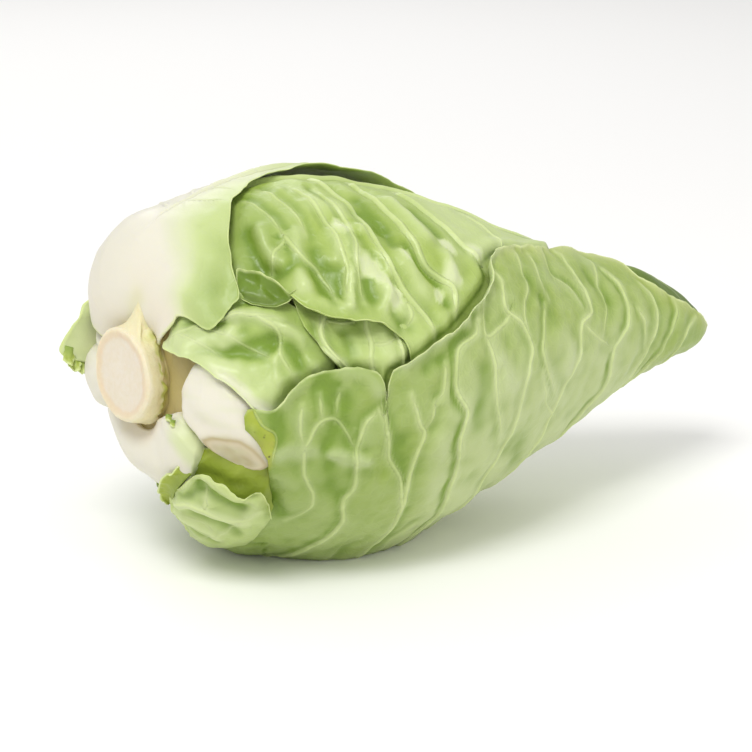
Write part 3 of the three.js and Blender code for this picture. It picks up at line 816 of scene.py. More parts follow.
def front_wrap():
    """The large leaf round the front, the underside and the tip. Its blade is gently pillowed between
    long veins that run round the head, and its free edge lifts a little off the leaves beneath."""
    leaf = Leaf(
        [(44, -118), (50, -140), (56, -165), (66, -185), (80, -198), (100, -206), (140, -210), (200, -212),
         (250, -212), (270, -206), (286, -200)],
        FRONT_EDGE,
        cell=1.22, corner=0.7, ragged=(0.7, 0.85), seed=3,
        start=[(-118, 44), (-90, 50), (-60, 54), (-38, 53), (-29, 49.5), (-22, 48), (-15, 46.6), (-10, 43.2),
               (-5, 38.6), (0, 37.8)])
    t_edge = leaf.t[:, -1]
    roll = (3.2 + 1.3 * bell((t_edge - 130) / 12)) * ease(84, 92, t_edge)
    leaf.curl(SECOND, 0.5 + roll * (1 - 0.6 * ease(150, 200, t_edge)), 4.0)
    main = [
        [(66, -98), (74, -70), (79, -40), (76, -30), (78, -24), (76, -13), (78, -3), (82, 1)],
        [(88, -98), (97, -66), (100, -41), (94, -22), (88, -15), (87, -9), (82, 1)],
        [(100, -41), (98, -25), (99, -13), (100, -7), (98, -5), (94, 4)],
        [(106, -98), (115, -70), (119.7, -47.3), (117.9, -32), (118.8, -21.7), (116.6, -12.4), (118.6, -4.3),
         (113.4, 3.9), (114.4, 16), (122.7, 20.1), (124.8, 24.2)],
        [(126, -98), (136, -50), (141.5, -25.6), (144.3, -17), (147.1, -5.4), (148.1, -0.1), (150.1, 7.3),
         (152.1, 14.6), (147.9, 22.1), (140.6, 28.4), (141.8, 37.9), (138.7, 45.2)],
        [(146, -98), (157, -60), (167.7, -31.3), (171.1, -15.5), (178.5, -3.6), (183.1, 5), (185.7, 19.2),
         (194.2, 26), (194, 39.1), (192.1, 48.2), (190.4, 58.6), (189, 67.3)],
        [(170, -98), (184, -66), (196, -38), (205, -20.1), (207, -0.6), (215.7, 12.4), (218.3, 31.1),
         (217.7, 42.4), (213.2, 57.6)],
        [(196, -98), (212, -66), (224, -36), (232, -12), (237, 9.2), (237.4, 29.1), (233.5, 48.3)],
        [(218, -98), (230, -62), (241, -24), (248, 5), (250.7, 23.1), (250, 36)],
        [(240, -98), (250, -50), (256, -5), (263, 18)],
    ]
    minor = [
        [(58, -11), (63, -2), (68, -2), (76, -12)], [(58, -11), (60, -21), (66, -32), (61, -43)],
        [(56, 3), (56, -5), (58, -11)], [(62, 6), (63, -2)], [(69, 7), (68, -2)],
        [(104, 1), (103, -4), (100, -7)], [(127.9, 19.1), (131.1, 9.8), (132.2, -1.6), (137.9, -17.6)],
        [(142.7, 26.3), (137.4, 22.2), (127.9, 19.1), (129, 26.2), (131.2, 34.5)],
        [(159.1, 54.6), (156.5, 43.4), (157.4, 38), (150, 26.3), (152, 16)],
        [(177.3, 60.1), (176.8, 47.4), (185.4, 40.1), (188.4, 32.1)],
        [(164.6, 29.3), (161.5, 19.7), (158.5, 10.1), (167.4, -7)],
        [(208, 70), (208.1, 59.6), (205, 43.7), (205.5, 29.8), (198.7, 8.8)],
        [(167.2, 54.7), (165.8, 43.4), (168.7, 33.5)], [(108.3, 12), (107.2, 4), (104, 1)],
        [(172.8, -21.9), (163.4, -11.1), (158.6, 2.6)], [(187.6, 19), (196.7, 10.2), (205.9, 1.9)],
        [(224.5, 22.2), (228, 8), (228.9, -8.5)],
    ]
    far = laterals([58, 74, 90, 107, 124, 142, 160, 178, 198, 218], -102, -206, 26, 5)
    below = laterals([78, 98, 136, 158, 184, 208], -98, -50, 10, 6)
    midrib = [(48, -100), (80, -99), (140, -100), (210, -100), (278, -98)]
    veins = [(2.6, 2.0, 0.2, [midrib]), (1.5, 0.75, 0.6, main), (1.1, 0.4, 0.7, minor), (1.4, 0.6, 0.5, far),
             (0.9, 0.3, 0.6, below), (0.8, 0.2, 0.8, links(far, 8))]
    leaf.height = table([(38, -1.6), (46, -1.0), (56, 0), (240, 0), (286, -0.4)], leaf.t)
    flap = ease(-27, -18, leaf.a) * fall(44, 57, leaf.t) * fall(30, 60, leaf.a)
    leaf.height += 5.4 * flap
    edge = bell(leaf.from_second / 6)
    leaf.bump = edge * 1.5 * waver(leaf.t, 9, 7) * ease(60, 90, leaf.t) * fall(195, 225, leaf.t)
    ready, marks = grow(leaf, veins, [
        (-2.2, 4, [(63, 9), (65, 7), (68, 5)]), (1.0, 2.5, [(51, 6), (55, 9), (60, 11)]),
        (1.2, 3, [(71, 13), (77, 11), (81, 7)]), (0.8, 3.5, [(55, -2), (55, -8)]),
        (-1.0, 3.5, [(67, -5), (66, -10)]), (1.6, 2.2, [(69, -13), (76, -15), (79, -15.5)]),
        (0.9, 3.5, [(52, -14), (58, -12)]), (-1.2, 3.5, [(49, -7), (48, -2)]),
        (-0.8, 4, [(70, 0), (73, -8)]), (0.9, 3, [(50, -24), (56, -25)]), (-1.2, 3, [(52, -34), (57, -40)]),
        (-0.8, 4, [(68, -18), (71, -26)]), (-1.0, 3, [(101, 12), (108.3, 15), (116.5, 20.1)]),
        (-0.9, 4, [(92, -10), (95, -22)]), (-0.8, 4, [(126, 8), (124, -8)]),
        (0.8, 5, [(133, 14), (138, 4)]), (-0.8, 4, [(160, 40), (168, 24)]), (0.8, 5, [(172, 18), (176, 4)]),
        (-0.8, 4, [(200, 52), (206, 34)]), (0.6, 4, [(226, 40), (228, 22)]),
        (0.9, 5, [(108, -12), (110, -30)]), (-0.8, 5, [(150, -22), (156, -36)]),
    ], pillow=0.8, crumple=0.7, seed=3, lean=0.9)
    leaf.bump *= fall(262, 284, leaf.t)
    # The torn corner over the trimmed base is folded along a crease, and yellow on its stem side.
    crease = [(39.8, 4.2), (43.3, -2.6), (47.2, -5.4), (48.2, -8), (47.8, -13.7), (48.6, -18)]
    before = table([(turn, t) for t, turn in crease[::-1]], leaf.a) - leaf.t
    yellow = ease(-0.2, 0.8, before) * ease(-21, -16, leaf.a) * fall(2, 5, leaf.a)
    leaf.bump -= 0.12 * np.clip(before, 0, 6) * yellow
    ready.append((path(crease, 0.8, 0.3, 45), 0.7, 0.5, 0.8))
    spoiled = yellow * fall(-9, -4, leaf.a)
    towards_stem = fall(58, 120, leaf.t)
    # Darker towards the stem end, and painted shade where its start lies under the neighbours.
    marks["deep"] += 0.35 * towards_stem + 0.8 * fall(40, 56, leaf.t) * (leaf.a < -24)
    # Darker towards the tip, and patchy darker in the yellow torn corner.
    marks["deep"] += 0.35 * ease(225, 275, leaf.t) + 0.7 * yellow * chance(leaf.base, 3, 49)
    # Painted highlight on the rolled lip, lighter near the free edge, and painted light over the underside.
    lip = bell(leaf.from_second / 2.6) * ease(84, 92, leaf.t)
    marks["light"] += 0.2 * edge * ease(80, 110, leaf.t) + 0.8 * lip
    marks["light"] += 0.3 * fall(-48, -18, leaf.a)
    # Paler over the front and the underside, from t 98 to 245.
    bloom = ease(98, 128, leaf.t) * fall(-6, 30, leaf.a) * fall(205, 245, leaf.t)
    marks["light"] += 0.7 * bloom
    # A painted highlight along a ridge of the blade.
    streak = path([(49.5, -12.5), (57, -12.8), (64, -12.6), (69, -14), (75.5, -15.3)], 1.0, 0)
    marks["light"] += 0.8 * bell(nearest(leaf, [streak])[0] / 2.6)
    warm = (0.8 - 0.06 * before) * yellow + 0.3 * bell(leaf.from_second / 5) * ease(138, 160, leaf.t)
    marks["tan"] = 0.3 * spoiled * chance(leaf.base, 3, 47)
    leaf_mesh(leaf, ready, relief_shading=1.1, warm=warm, speck=spoiled, **marks).build(
        "front_wrap_leaf", OUTER, "leaf_green")


def back_wrap():
    """The leaf on the far side of the tip, with painted shade where it lies in the groove of the front
    one's edge.
    """
    leaf = Leaf(
        [(96, 66), (120, 50), (150, 40), (190, 48), (215, 60), (226, 54), (236, 38), (246, 28), (258, 20),
         (272, 12), (286, 8)],
        [(96, 150), (120, 170), (150, 186), (190, 194), (240, 194), (270, 190), (286, 184)],
        cell=1.4, ragged=(0.4, 0.4), seed=5)
    leaf.height = table([(96, -5.2), (186, -4.8), (212, -2.6), (240, -1.3), (286, -1.3)], leaf.t)
    stations = [104, 122, 140, 158, 178, 198, 220, 240]
    near, far = laterals(stations, 118, 60, 16, 15), laterals(stations, 120, 186, 16, 16)
    ready, marks = grow(leaf, [(1.8, 1.0, 0.3, [[(96, 118), (180, 119), (280, 118)]]),
                               (1.3, 0.55, 0.5, near + far), (0.8, 0.2, 0.8, links(far, 18))],
                        [], pillow=0.7, crumple=0.45, seed=5)
    leaf.bump *= fall(262, 284, leaf.t)
    groove = ease(205, 226, leaf.t) * fall(62, 108, leaf.a)
    # Painted shade in the groove, and a slightly deeper tone all over.
    marks["deep"] += 0.9 * groove + 0.1
    leaf_mesh(leaf, ready, relief_shading=1.1, rim=0.5, dark=0.6 * groove, **marks).build(
        "back_wrap_leaf", OUTER, "leaf_green")


def crinkled_top():
    """The glossy leaf across the top: fat veins, swollen between them, its lower edge rolled outwards."""
    leaf = Leaf(
        [(38, 60), (42, 55), (46, 50.5), (50, 46.5), (54, 44), (57, 41), (58.5, 37), (60, 33.5), (63, 30.5),
         (67, 28), (75, 26), (84, 24), (90, 22.6), (93.2, 21), (93.7, 18), (94.5, 13), (104, 11), (116, 15),
         (131.5, 24.4), (150, 36), (170, 52), (188, 68)],
        [(38, 98), (60, 112), (80, 120), (110, 122), (140, 116), (165, 106), (188, 88)],
        cell=1.0, corner=0.8, ragged=(0.6, 0.7), seed=7)
    t = leaf.t[:, 0]
    leaf.curl(FIRST, 0.6 + 4.2 * ease(54, 64, t) * (1 - 0.8 * ease(84, 93, t)), 3.2)
    main = [
        [(90, 92), (94, 70), (94, 51), (96, 41), (99, 34), (104, 27), (106, 21)],
        [(106.1, 90), (108, 66), (109.3, 53.3), (110.6, 43.2), (117.9, 35.2), (116.6, 27.1)],
        [(124.6, 88), (130.9, 66.4), (133, 56.4), (135.1, 52.5), (139.5, 44.7)],
    ]
    minor = [
        [(79, 84), (80, 66), (80, 54), (79, 45), (76, 36)],
        [(86, 80), (87, 60), (86, 53), (83, 45), (82, 39), (81, 33)],
        [(98, 32), (98, 27), (95, 24)], [(64, 62), (66, 52), (70, 46), (72, 36)],
        [(62, 84), (64, 72), (64, 62)], [(151, 80), (156, 66), (154, 52)], [(64, 60), (58, 56), (54, 50)],
        [(70, 88), (72, 72), (71, 60)],
    ]
    veins = [(2.6, 1.9, 0.3, [[(44, 100), (90, 96), (130, 94), (182, 80)]]), (1.9, 1.2, 0.8, main),
             (1.2, 0.55, 0.7, minor)]
    free = ease(50, 58, leaf.t) * fall(104, 128, leaf.t) * fall(80, 100, leaf.a)
    leaf.height = table([(38, -3.8), (48, -3.4), (56, -1.8), (62, -0.4), (80, -0.2), (90, -1.5), (96, -2.7),
                         (104, -3.0), (140, -3.2), (150, -2.4), (188, -2.4)], leaf.t)
    ready, marks = grow(leaf, veins, [
        (-2.2, 4.5, [(73, 43), (73, 37)]), (-1.8, 4, [(85, 41), (85, 35)]),
        (-1.7, 3, [(53, 52), (57, 49), (62, 49)]), (-1.3, 3, [(54, 69), (52, 57)]),
        (1.8, 2, [(84, 58), (84, 53), (82, 45), (78, 38), (76, 33)]),
        (1.4, 1.8, [(79, 58), (79, 54), (77, 48)]),
        (1.6, 2, [(91, 58), (91, 52), (94, 44), (92, 38), (88, 31)]),
        (1.6, 2.5, [(68, 60), (64, 49), (62, 41)]), (1.5, 3, [(64, 40), (66, 36), (74, 33)]),
        (-1.5, 3, [(71, 52), (69, 42), (67, 38)]), (1.6, 2.4, [(57, 66), (56, 57), (58, 52)]),
        (-1.2, 2.6, [(94, 32), (92, 28), (95, 25)]), (1.6, 3.2, [(90, 36), (94, 33), (96, 29)]),
        (1.6, 3, [(121, 47), (121, 40), (117, 35)]),
        (-1.6, 2.4, [(106, 50), (108, 43), (112.6, 37), (113.6, 31)]),
        (-1.5, 2.6, [(90, 54), (91, 44), (94, 38)]), (1.3, 4, [(102, 46), (104, 36)]),
        (-1.4, 3.5, [(96, 66), (100, 60)]), (1.4, 4, [(80, 72), (86, 68)]), (-1.6, 3, [(100, 74), (101, 52)]),
        (1.6, 3.4, [(114, 74), (115, 56)]), (-1.4, 3, [(122, 70), (124, 58)]),
    ], pillow=0.6 + 0.8 * free, crumple=0.35 + 0.4 * free, seed=9, lean=0.5 + 0.5 * free)
    leaf.bump = np.maximum(leaf.bump, -2.3)
    marks["light"] += 0.6 * ease(120, 140, leaf.t) * ease(40, 56, leaf.a)
    # Painted shade beside the upper leaf's edge.
    marks["deep"] += 0.35 * fall(60, 76, leaf.t) * ease(42, 50, leaf.a)
    # Pale patches are painted reflections of the wet gloss, and they clear the painted shade.
    glossy = patches(leaf, [(87, 44.6, 4.6), (93.5, 34, 4.2), (121, 40, 4.4), (138, 52, 4.4),
                            (104, 47, 3.2), (125, 52, 3.6), (84, 60, 3.6), (112, 33, 2.6), (90, 41, 3.0)])
    marks["white"] = 0.5 * glossy
    marks["light"] += 0.7 * glossy
    marks["deep"] *= 1 - glossy
    shaded(leaf, marks)
    leaf_mesh(leaf, ready, **marks).build("crinkled_top_leaf", GLOSSY, "leaf_green")


def under():
    """The quiet leaf seen between the torn one, the crinkled one and the front one."""
    leaf = Leaf(
        [(74, 9), (80, 2), (92, -8), (110, -18), (132, -18)],
        [(71, 13), (68.5, 16.5), (64.5, 20), (62.5, 24), (59.5, 29), (58.5, 34), (58, 40), (66, 44), (82, 48),
         (104, 44), (132, 32)],
        cell=0.8, corner=0.6, ragged=(0.3, 1.1), seed=9)
    leaf.height = table([(58, -3.2), (70, -3.6), (82, -3.0), (92, -2.9), (97, -4.0), (132, -5.6)], leaf.t)
    leaf.height -= 1.7 * ease(27, 36, leaf.a)
    main = [[(72, 38), (67, 30), (65, 25), (68, 18), (74, 12)],
            [(86, 42), (82, 32), (81, 26), (81, 20), (80, 14), (84, 2)],
            [(94, 38), (92, 26), (92, 16), (96, 4)]]
    cross = [[(67, 30), (74, 28), (82, 29)], [(81, 20), (87, 20), (92, 22)]]
    ready, marks = grow(leaf, [(1.3, 0.6, 0.7, main), (0.9, 0.25, 0.8, cross)], [
        (1.2, 2.5, [(65, 18), (68, 16)]), (1.0, 1.8, [(67, 30), (65, 25), (66, 20)]),
        (-1.3, 2.5, [(73, 24), (74, 19)]), (-1.2, 2, [(63, 27), (64, 22)]), (1.1, 3, [(86, 22), (87, 16)]),
        (-1.0, 3, [(77, 34), (78, 26)]),
    ], pillow=0.7, crumple=0.5, seed=11)
    # Painted shade towards its upper edge, where it goes under the crinkled leaf.
    marks["deep"] = 0.8 * marks["deep"] + 0.2 * ease(24, 34, leaf.a)
    shaded(leaf, marks)
    leaf_mesh(leaf, ready, **marks).build("under_leaf", PALE, "leaf_pale")


def torn_side():
    """The torn leaf beside the stem: a rounded lobe by the cavity, its lower edge rolled over the
    trimmed base, its far side going down under its neighbours."""
    leaf = Leaf(
        [(10, 42), (10, 39), (11.5, 35), (14, 30), (18, 26), (24, 21), (30, 14), (35.8, 8), (39.8, 3.5),
         (43.5, 0), (48, -1), (58, 1), (68, 4)],
        [(10.5, 45), (13, 50), (20, 55), (30, 53), (41, 48), (49, 44), (55, 40), (60, 35), (66, 29),
         (70, 20)],
        cell=0.8, corner=1.2, ragged=(0.55, 0.4), seed=11)
    t = leaf.t[:, 0]
    leaf.curl(FIRST, 0.5 + 2.6 * fall(44, 50, t), 2.6)
    leaf.height = table([(9, 1.8), (14, 1.8), (22, 1.0), (32, 0.2), (42, -0.8), (50, -2.2), (58, -4.8),
                         (70, -6.2)], leaf.t)
    leaf.height -= 2.4 * fall(0, 8, leaf.from_second) * fall(24, 34, leaf.t)
    over = fall(0, 11, leaf.from_first) * ease(14, 22, leaf.t) * fall(46, 52, leaf.t)
    leaf.height += 2.6 * over
    veins = [(1.3, 0.35, 0.6, [[(14, 42), (24, 41), (38, 38), (52, 33)]]),
             (1.2, 0.35, 0.7, [[(44, 36), (50, 29), (50, 20), (54, 12)]]),
             (0.9, 0.2, 0.7, [[(22, 41), (31, 34), (38, 26), (47, 19)]]),
             (0.9, 0.2, 0.8, [[(17, 41), (23, 33), (31, 22)]])]
    ready, marks = grow(leaf, veins, [
        (1.3, 3.5, [(14, 37), (20, 33), (27, 31)]), (1.2, 3, [(20, 28), (28, 21), (36, 15), (43, 10)]),
        (-1.9, 3, [(25, 27), (34, 24), (40, 25), (47, 26)]), (1.2, 2.2, [(39, 36), (35, 33), (32, 28)]),
        (2.0, 2.8, [(38, 39), (45, 35), (52, 30), (57, 26)]), (-1.6, 3, [(52, 24), (55, 20), (56, 17)]),
        (-1.2, 2.5, [(40, 21), (44, 21), (47, 23)]), (1.1, 4, [(38, 17), (43, 15), (46, 11)]),
        (1.0, 1.8, [(53, 28), (50, 23), (48, 19), (48, 13)]), (1.0, 2, [(58, 21), (59, 17), (62, 14)]),
        (-1.2, 2.4, [(22, 44), (32, 43), (42, 42)]), (-1.0, 3, [(30, 38), (38, 33)]),
    ], pillow=0.3, crumple=0.5, seed=13, lean=0.4)
    meet(leaf, FRONT_EDGE[2:10], 1.5)
    low = fall(1, 9, leaf.from_first)
    white = 0.45 * fall(10, 26, leaf.t) + 0.75 * low * ease(20, 34, leaf.t) * fall(44, 50, leaf.t)
    # Painted shade where the far side goes under its neighbours, and a slightly deeper tone all over.
    marks["deep"] += 0.2 * ease(52, 60, leaf.t) + 0.12
    # Painted highlight on the rolled lower edge and two painted highlights on the blade.
    marks["light"] += 0.5 * low + 0.6 * patches(leaf, [(31, 29, 9), (23, 34, 7)])
    leaf_mesh(leaf, ready, white=white, **marks).build("torn_side_leaf", PALE, "leaf_pale")


def folded():
    """A flap of the torn leaf folded up between its neighbours, in painted shade inside, its edge a pale
    line that is partly a painted highlight.
    """
    leaf = Leaf(
        [(41, 44), (44, 40), (48, 37.5), (52, 36.5), (56, 37), (59, 39)],
        [(41.5, 49), (42.2, 50.5), (43.8, 55.5), (45.4, 54.5), (48, 52.5), (50.5, 50), (53, 47), (55.5, 43),
         (57, 39.5), (59.5, 39.6)],
        cell=0.5, corner=0.3, ragged=(0.2, 0.35), seed=13)
    rise = leaf.from_first / np.maximum(leaf.width, 1)
    leaf.height = -1.9 + 3.1 * rise**1.4
    leaf.curl(SECOND, 0.8, 1.4)
    leaf.curl(FIRST, 2.2, 1.6)
    leaf.bump = folds(leaf, [(-1.4, 2.2, [(46, 51), (49, 47), (53, 42)]), (0.7, 1.6, [(44, 45), (48, 42)]),
                             (0.8, 1.2, [(50, 49), (49, 45), (50, 41)])])
    leaf.bump += 0.5 * ripple(leaf.base, 5, 14)
    # Painted shade inside the fold, and a pale rim, partly painted highlight.
    mesh = leaf_mesh(leaf, [], 0.7, deep=0.7 + 0.3 * ease(0.1, 0.5, rise),
                     dark=0.2 + 0.25 * bell((rise - 0.2) / 0.25), rim=1.3)
    mesh.build("folded_flap", PALE, "leaf_green")


def upper():
    """The upper leaf: a broad white shoulder beside the stem that turns to green over the top, and a
    ragged front edge standing clear of the leaves beneath."""
    leaf = Leaf(
        [(4, 53), (10, 48.5), (15, 48.5), (19, 51), (22, 46), (25.5, 40), (28.5, 35), (31, 36), (33, 38),
         (34.5, 38.5), (35.5, 40), (37.5, 40.5), (39, 42), (41, 42.5), (41.4, 45), (41.8, 49), (42.4, 54),
         (44.6, 63), (50, 74), (58, 84), (70, 92), (90, 98), (120, 103), (148, 112)],
        [(4, 150), (12, 156), (20, 158), (30, 158), (44, 156), (62, 154), (90, 152), (120, 145), (148, 134)],
        cell=1.0, corner=0.45, ragged=(0.6, 0.5), seed=15)
    leaf.curl(FIRST, 1.4, 4.0)
    shoulder = table([(4, 1.0), (9, 4.5), (14, 7.5), (22, 9.8), (30, 10.2), (38, 9.0), (50, 5.0), (66, 2.0),
                      (90, 0.6), (148, 0)], leaf.t)
    middle = table([(60, 0.0), (74, 0.12), (90, 0.4), (104, 0.72), (120, 0.98), (132, 1.0), (145, 0.8),
                    (160, 0.45)], leaf.a)
    leaf.height = 1.7 + shoulder * middle - 0.9 * fall(2, 12, leaf.t) * (1 - middle)
    near = laterals([48, 58, 68, 80, 96, 114], 100, 58, 22, 35)
    far = laterals([44, 54, 64, 80, 96, 112], 104, 148, 24, 36)
    veins = [(3.0, 1.6, 0.2, [[(76, 103), (100, 109), (144, 120)]]), (1.4, 0.5, 0.5, near + far),
             (0.8, 0.2, 0.8, links(far, 38)),
             (3.0, 1.6, 0.05, [[(80, 104), (60, 101.5), (44, 100), (30, 99)]])]
    green = ease(22, 42, leaf.t)
    ready, marks = grow(leaf, veins, [
        (0.8, 3, [(27, 47), (29, 40)]), (-0.8, 5, [(32, 64), (34, 51)]),
        (0.7, 3, [(29, 76), (36, 69), (42, 62)]), (0.7, 3, [(24, 61), (29, 50), (35, 43)]),
        (-0.8, 4, [(41, 74), (41, 66)]), (-0.7, 5, [(22, 84), (30, 74)]),
        (0.8, 3, [(36, 46), (39, 50), (41, 56)]), (-0.8, 4, [(3, 66), (7, 64)]),
    ], pillow=0.5 * green, crumple=0.12 + 0.35 * green, seed=17, lean=0.15 + 0.4 * green)
    neck = bell(nearest(leaf, [path([(2, 92), (7, 91), (12, 86)], 1.0, 0)])[0] / 3.2)
    along = bell((leaf.a - 110) / (16 + 400 / (leaf.t + 8)))
    white = np.clip(1.15 - ease(14, 46, leaf.t) + 0.8 * along * fall(50, 120, leaf.t), 0, 1)
    white *= 1 - 0.85 * fall(46, 76, leaf.a) * ease(15, 26, leaf.t)
    deep = 0.45 * fall(50, 80, leaf.a) * ease(18, 30, leaf.t)
    thick = BLADE + 8 * bell((leaf.a - 112) / 26) * fall(20, 60, leaf.t) + 1.6 * fall(10, 30, leaf.t)
    blush = fall(12, 32, leaf.t) * chance(leaf.base, 14, 18, 0.5, 0.7)
    marks = {k: v * (1 - white) for k, v in marks.items()}
    marks["vein"] = 0.7 * marks["vein"]
    marks["deep"] = 0.35 * marks["deep"] + deep
    marks["light"] += 0.25 * chance(leaf.base, 9, 19, 0.3) * (1 - white)
    white *= 1 - 0.3 * neck
    mesh = leaf_mesh(leaf, ready, thick, white=white, blush=0.25 * (blush + neck), **marks)
    mesh.build("upper_leaf", PALE, "leaf_pale")


def lumps(leaf, high, size, seed):
    """The soft lumps of a thick leaf base: broad ones of that height and size, and low ones 4 mm wide."""
    return high * ripple(leaf.base, size, seed) + 0.12 * ripple(leaf.base, 4, seed + 1)


def plump(leaf, bottom, roll, open_start=False, cut=None, **marks):
    """A thick leaf base. Its outer face rolls over to its borders by a quarter circle of roll mm, so its
    height falls by roll*(1 - sqrt(1 - w^2)), and its inner face lies at the height bottom. cut, a point
    and a direction, is a knife's plane: what stands past it is moved back onto it along its direction."""
    near = np.minimum(leaf.from_edge, leaf.from_end)
    if not open_start:
        near = np.minimum(near, leaf.from_start)
    w = np.clip(1 - near / roll, 0, 1)
    leaf.bump -= roll * (1 - np.sqrt(1 - 0.98 * w * w))
    leaf.surface()
    if cut:
        point, way = np.array(cut[0]), np.array(cut[1]) / np.linalg.norm(cut[1])
        past = dot(leaf.outer - point, way) + 0.25 * ripple(leaf.outer, 5, 31)
        leaf.outer -= np.maximum(past, 0)[..., None] * way
        fresh = ease(0.0, 0.5, past)
        marks["blush"] = np.maximum(marks.get("blush", 0), 0.6 * fresh * (1 - 0.7 * ease(1.2, 3.0, past)))
        dried = (0.5 + 0.35 * ripple(leaf.outer, 4, 32)) * ease(1, 3, past)
        marks["tan"] = 0.6 * bell((past - 0.5) / 0.6) + dried
        marks["white"] = marks["white"] * (1 - 0.15 * fresh)
        marks["light"] = marks["light"] * (1 - fresh)
        leaf.normal = normals_of(leaf.outer)
    inner = settled(on_head(leaf.t, leaf.a, bottom + 0 * leaf.t))
    up = on_head(leaf.t, leaf.a, 1) - on_head(leaf.t, leaf.a, 0)
    # Where the leaf base runs out, a wall of 0.6 mm is left.
    deep = dot(leaf.outer - inner, up)[..., None]
    inner = np.where(deep > 0.6, inner, leaf.outer - 0.6 * up)
    rows, cols = leaf.t.shape
    n = rows * cols
    ring = border(np.arange(n).reshape(rows, cols))
    nxt = np.roll(ring, -1)
    faces = np.concatenate([grid_faces(rows, cols), grid_faces(rows, cols, n, flip=True),
                            np.stack([ring, nxt, nxt + n, ring + n], -1)])
    whole = {k: np.tile(np.clip(v + 0 * leaf.t, 0, 1).ravel(), 2) for k, v in marks.items()}
    mesh = Mesh(MARKS)
    mesh.add(np.concatenate([leaf.outer.reshape(-1, 3), inner.reshape(-1, 3)]), faces, **whole)
    return mesh


def trimmed():
    """The leaf base at the front: a thick white wedge that a knife ended in an oval face."""
    leaf = Leaf(
        [(15.2, -8.5), (19, -12.5), (23, -15.5), (27, -19), (31, -22.5), (36, -24.5), (42, -24.5),
         (46.5, -22), (50, -17), (54, -12)],
        [(14.3, 7), (16.8, 17), (20.5, 23), (26, 22.5), (33, 15), (41, 8), (48, 3), (56, -2)],
        cell=0.6, corner=1.4, ragged=(0.2, 0.2), seed=17,
        start=[(-8.5, 15.2), (-3, 13.6), (2, 13.4), (7, 14.3)])
    leaf.height = table([(13, 1.2), (17, 3.0), (24, 3.9), (34, 3.6), (44, 2.2), (56, -0.8)], leaf.t)
    leaf.bump = folds(leaf, [(-0.8, 3.5, [(22, 14), (34, 9), (42, 5)]),
                             (0.8, 4, [(20, 3), (32, -3), (42, -7)]),
                             (-0.5, 2.5, [(17, 3), (24, -6)])])
    leaf.bump += lumps(leaf, 0.3, 12, 19)
    leaf.bump -= 4 * fall(0, 7, leaf.from_second) * ease(25, 36, leaf.t)
    knife = (on_head(29.1, -10.8, 4.4), (-0.62, -0.57, -0.54))
    blush = 0.4 * fall(13, 20, leaf.t) * ease(-2, 10, leaf.a) + 0.1 * bell((leaf.a + 12) / 8)
    green = ease(34, 50, leaf.t) * ease(-4, 14, leaf.a)
    streak = 0.2 * chance(leaf.base * (1, 1, 4), 12, 33, 0)
    mesh = plump(leaf, bottom=-7.0, roll=3.4, cut=knife, white=1 - 0.35 * green - streak, blush=blush,
                 light=0.5)
    mesh.build("trimmed_base", PALE, "leaf_base")


def lower():
    """The lower leaf base, thick and white under the stem, running out into a thin pale blade."""
    leaf = Leaf(
        [(1, -140), (8, -148), (16, -150), (22, -146), (26, -130)],
        [(1, -34), (5, -20), (9, -12), (12, -11), (16, -12.5), (20, -16), (23.5, -19.5), (25, -25),
         (26, -52)],
        cell=0.9, corner=0.8, ragged=(0.3, 0.45), seed=19)
    leaf.height = table([(1, 1.4), (5, 2.2), (14, 3.3), (20, 3.4), (29, 2.2)], leaf.t)
    tuck = table([(9, -16.5), (12, -17.2), (16, -18), (20, -20.8), (24, -23.4), (26, -52)], leaf.t)
    leaf.height -= 2.6 * ease(-1, 3.5, leaf.a - tuck) * ease(3, 9, leaf.t)
    leaf.height -= (0.6 + 4.6 * ease(8, 22, leaf.t)) * fall(-82, -50, leaf.a)
    leaf.bump = folds(leaf, [(-0.6, 4, [(2, -60), (8, -50), (15, -52)]), (1.0, 5, [(8, -107), (14, -97)]),
                             (0.7, 4, [(13, -27), (18, -38)]), (0.8, 6, [(12, -76), (18, -74)]),
                             (-0.5, 3, [(8, -30), (16, -34), (22, -44)])])
    leaf.bump += lumps(leaf, 0.3, 13, 21)
    blade = np.clip(ease(-14, -4, leaf.a - tuck) * ease(8, 18, leaf.t) + 0.5 * ease(23, 29, leaf.t), 0, 1)
    rim = bell(leaf.a - tuck + 1 + 1.5 * ripple(leaf.base, 4, 29)) * ease(8, 12, leaf.t)
    mesh = plump(leaf, bottom=-7.5, roll=2.2, open_start=True, white=1 - 0.5 * blade, light=blade,
                 blush=0.25 * fall(3, 8, leaf.t), warm=0.7 * rim)
    bits = spots_at([(9.5, -14, 3.0), (10.5, -12.5, 3.4), (12, -15, 3.2)])
    curls(mesh, bits, 1.1, 91, deep=0.9, warm=0.6)
    mesh.build("lower_base", PALE, "leaf_base")


def rear():
    """The white leaf base at the back, low beside the stem."""
    leaf = Leaf(
        [(3, -186), (12, -187), (22, -187), (32, -186), (40, -184)],
        [(3, -150), (12, -151), (22, -151), (32, -152), (40, -156)],
        cell=1.0, corner=1.2, ragged=(0.3, 0.3), seed=21)
    leaf.height = table([(3, 1.0), (10, 4.6), (18, 6.6), (28, 5.0), (40, -0.5)], leaf.t)
    leaf.height *= 0.45 + 0.55 * bell((leaf.a + 172) / 18)
    leaf.bump = lumps(leaf, 0.35, 13, 23)
    mesh = plump(leaf, bottom=-7.5, roll=4.0, open_start=True, white=1 - 0.8 * ease(28, 40, leaf.t),
                 blush=0.25 * fall(4, 9, leaf.t))
    mesh.build("rear_base", PALE, "leaf_base")


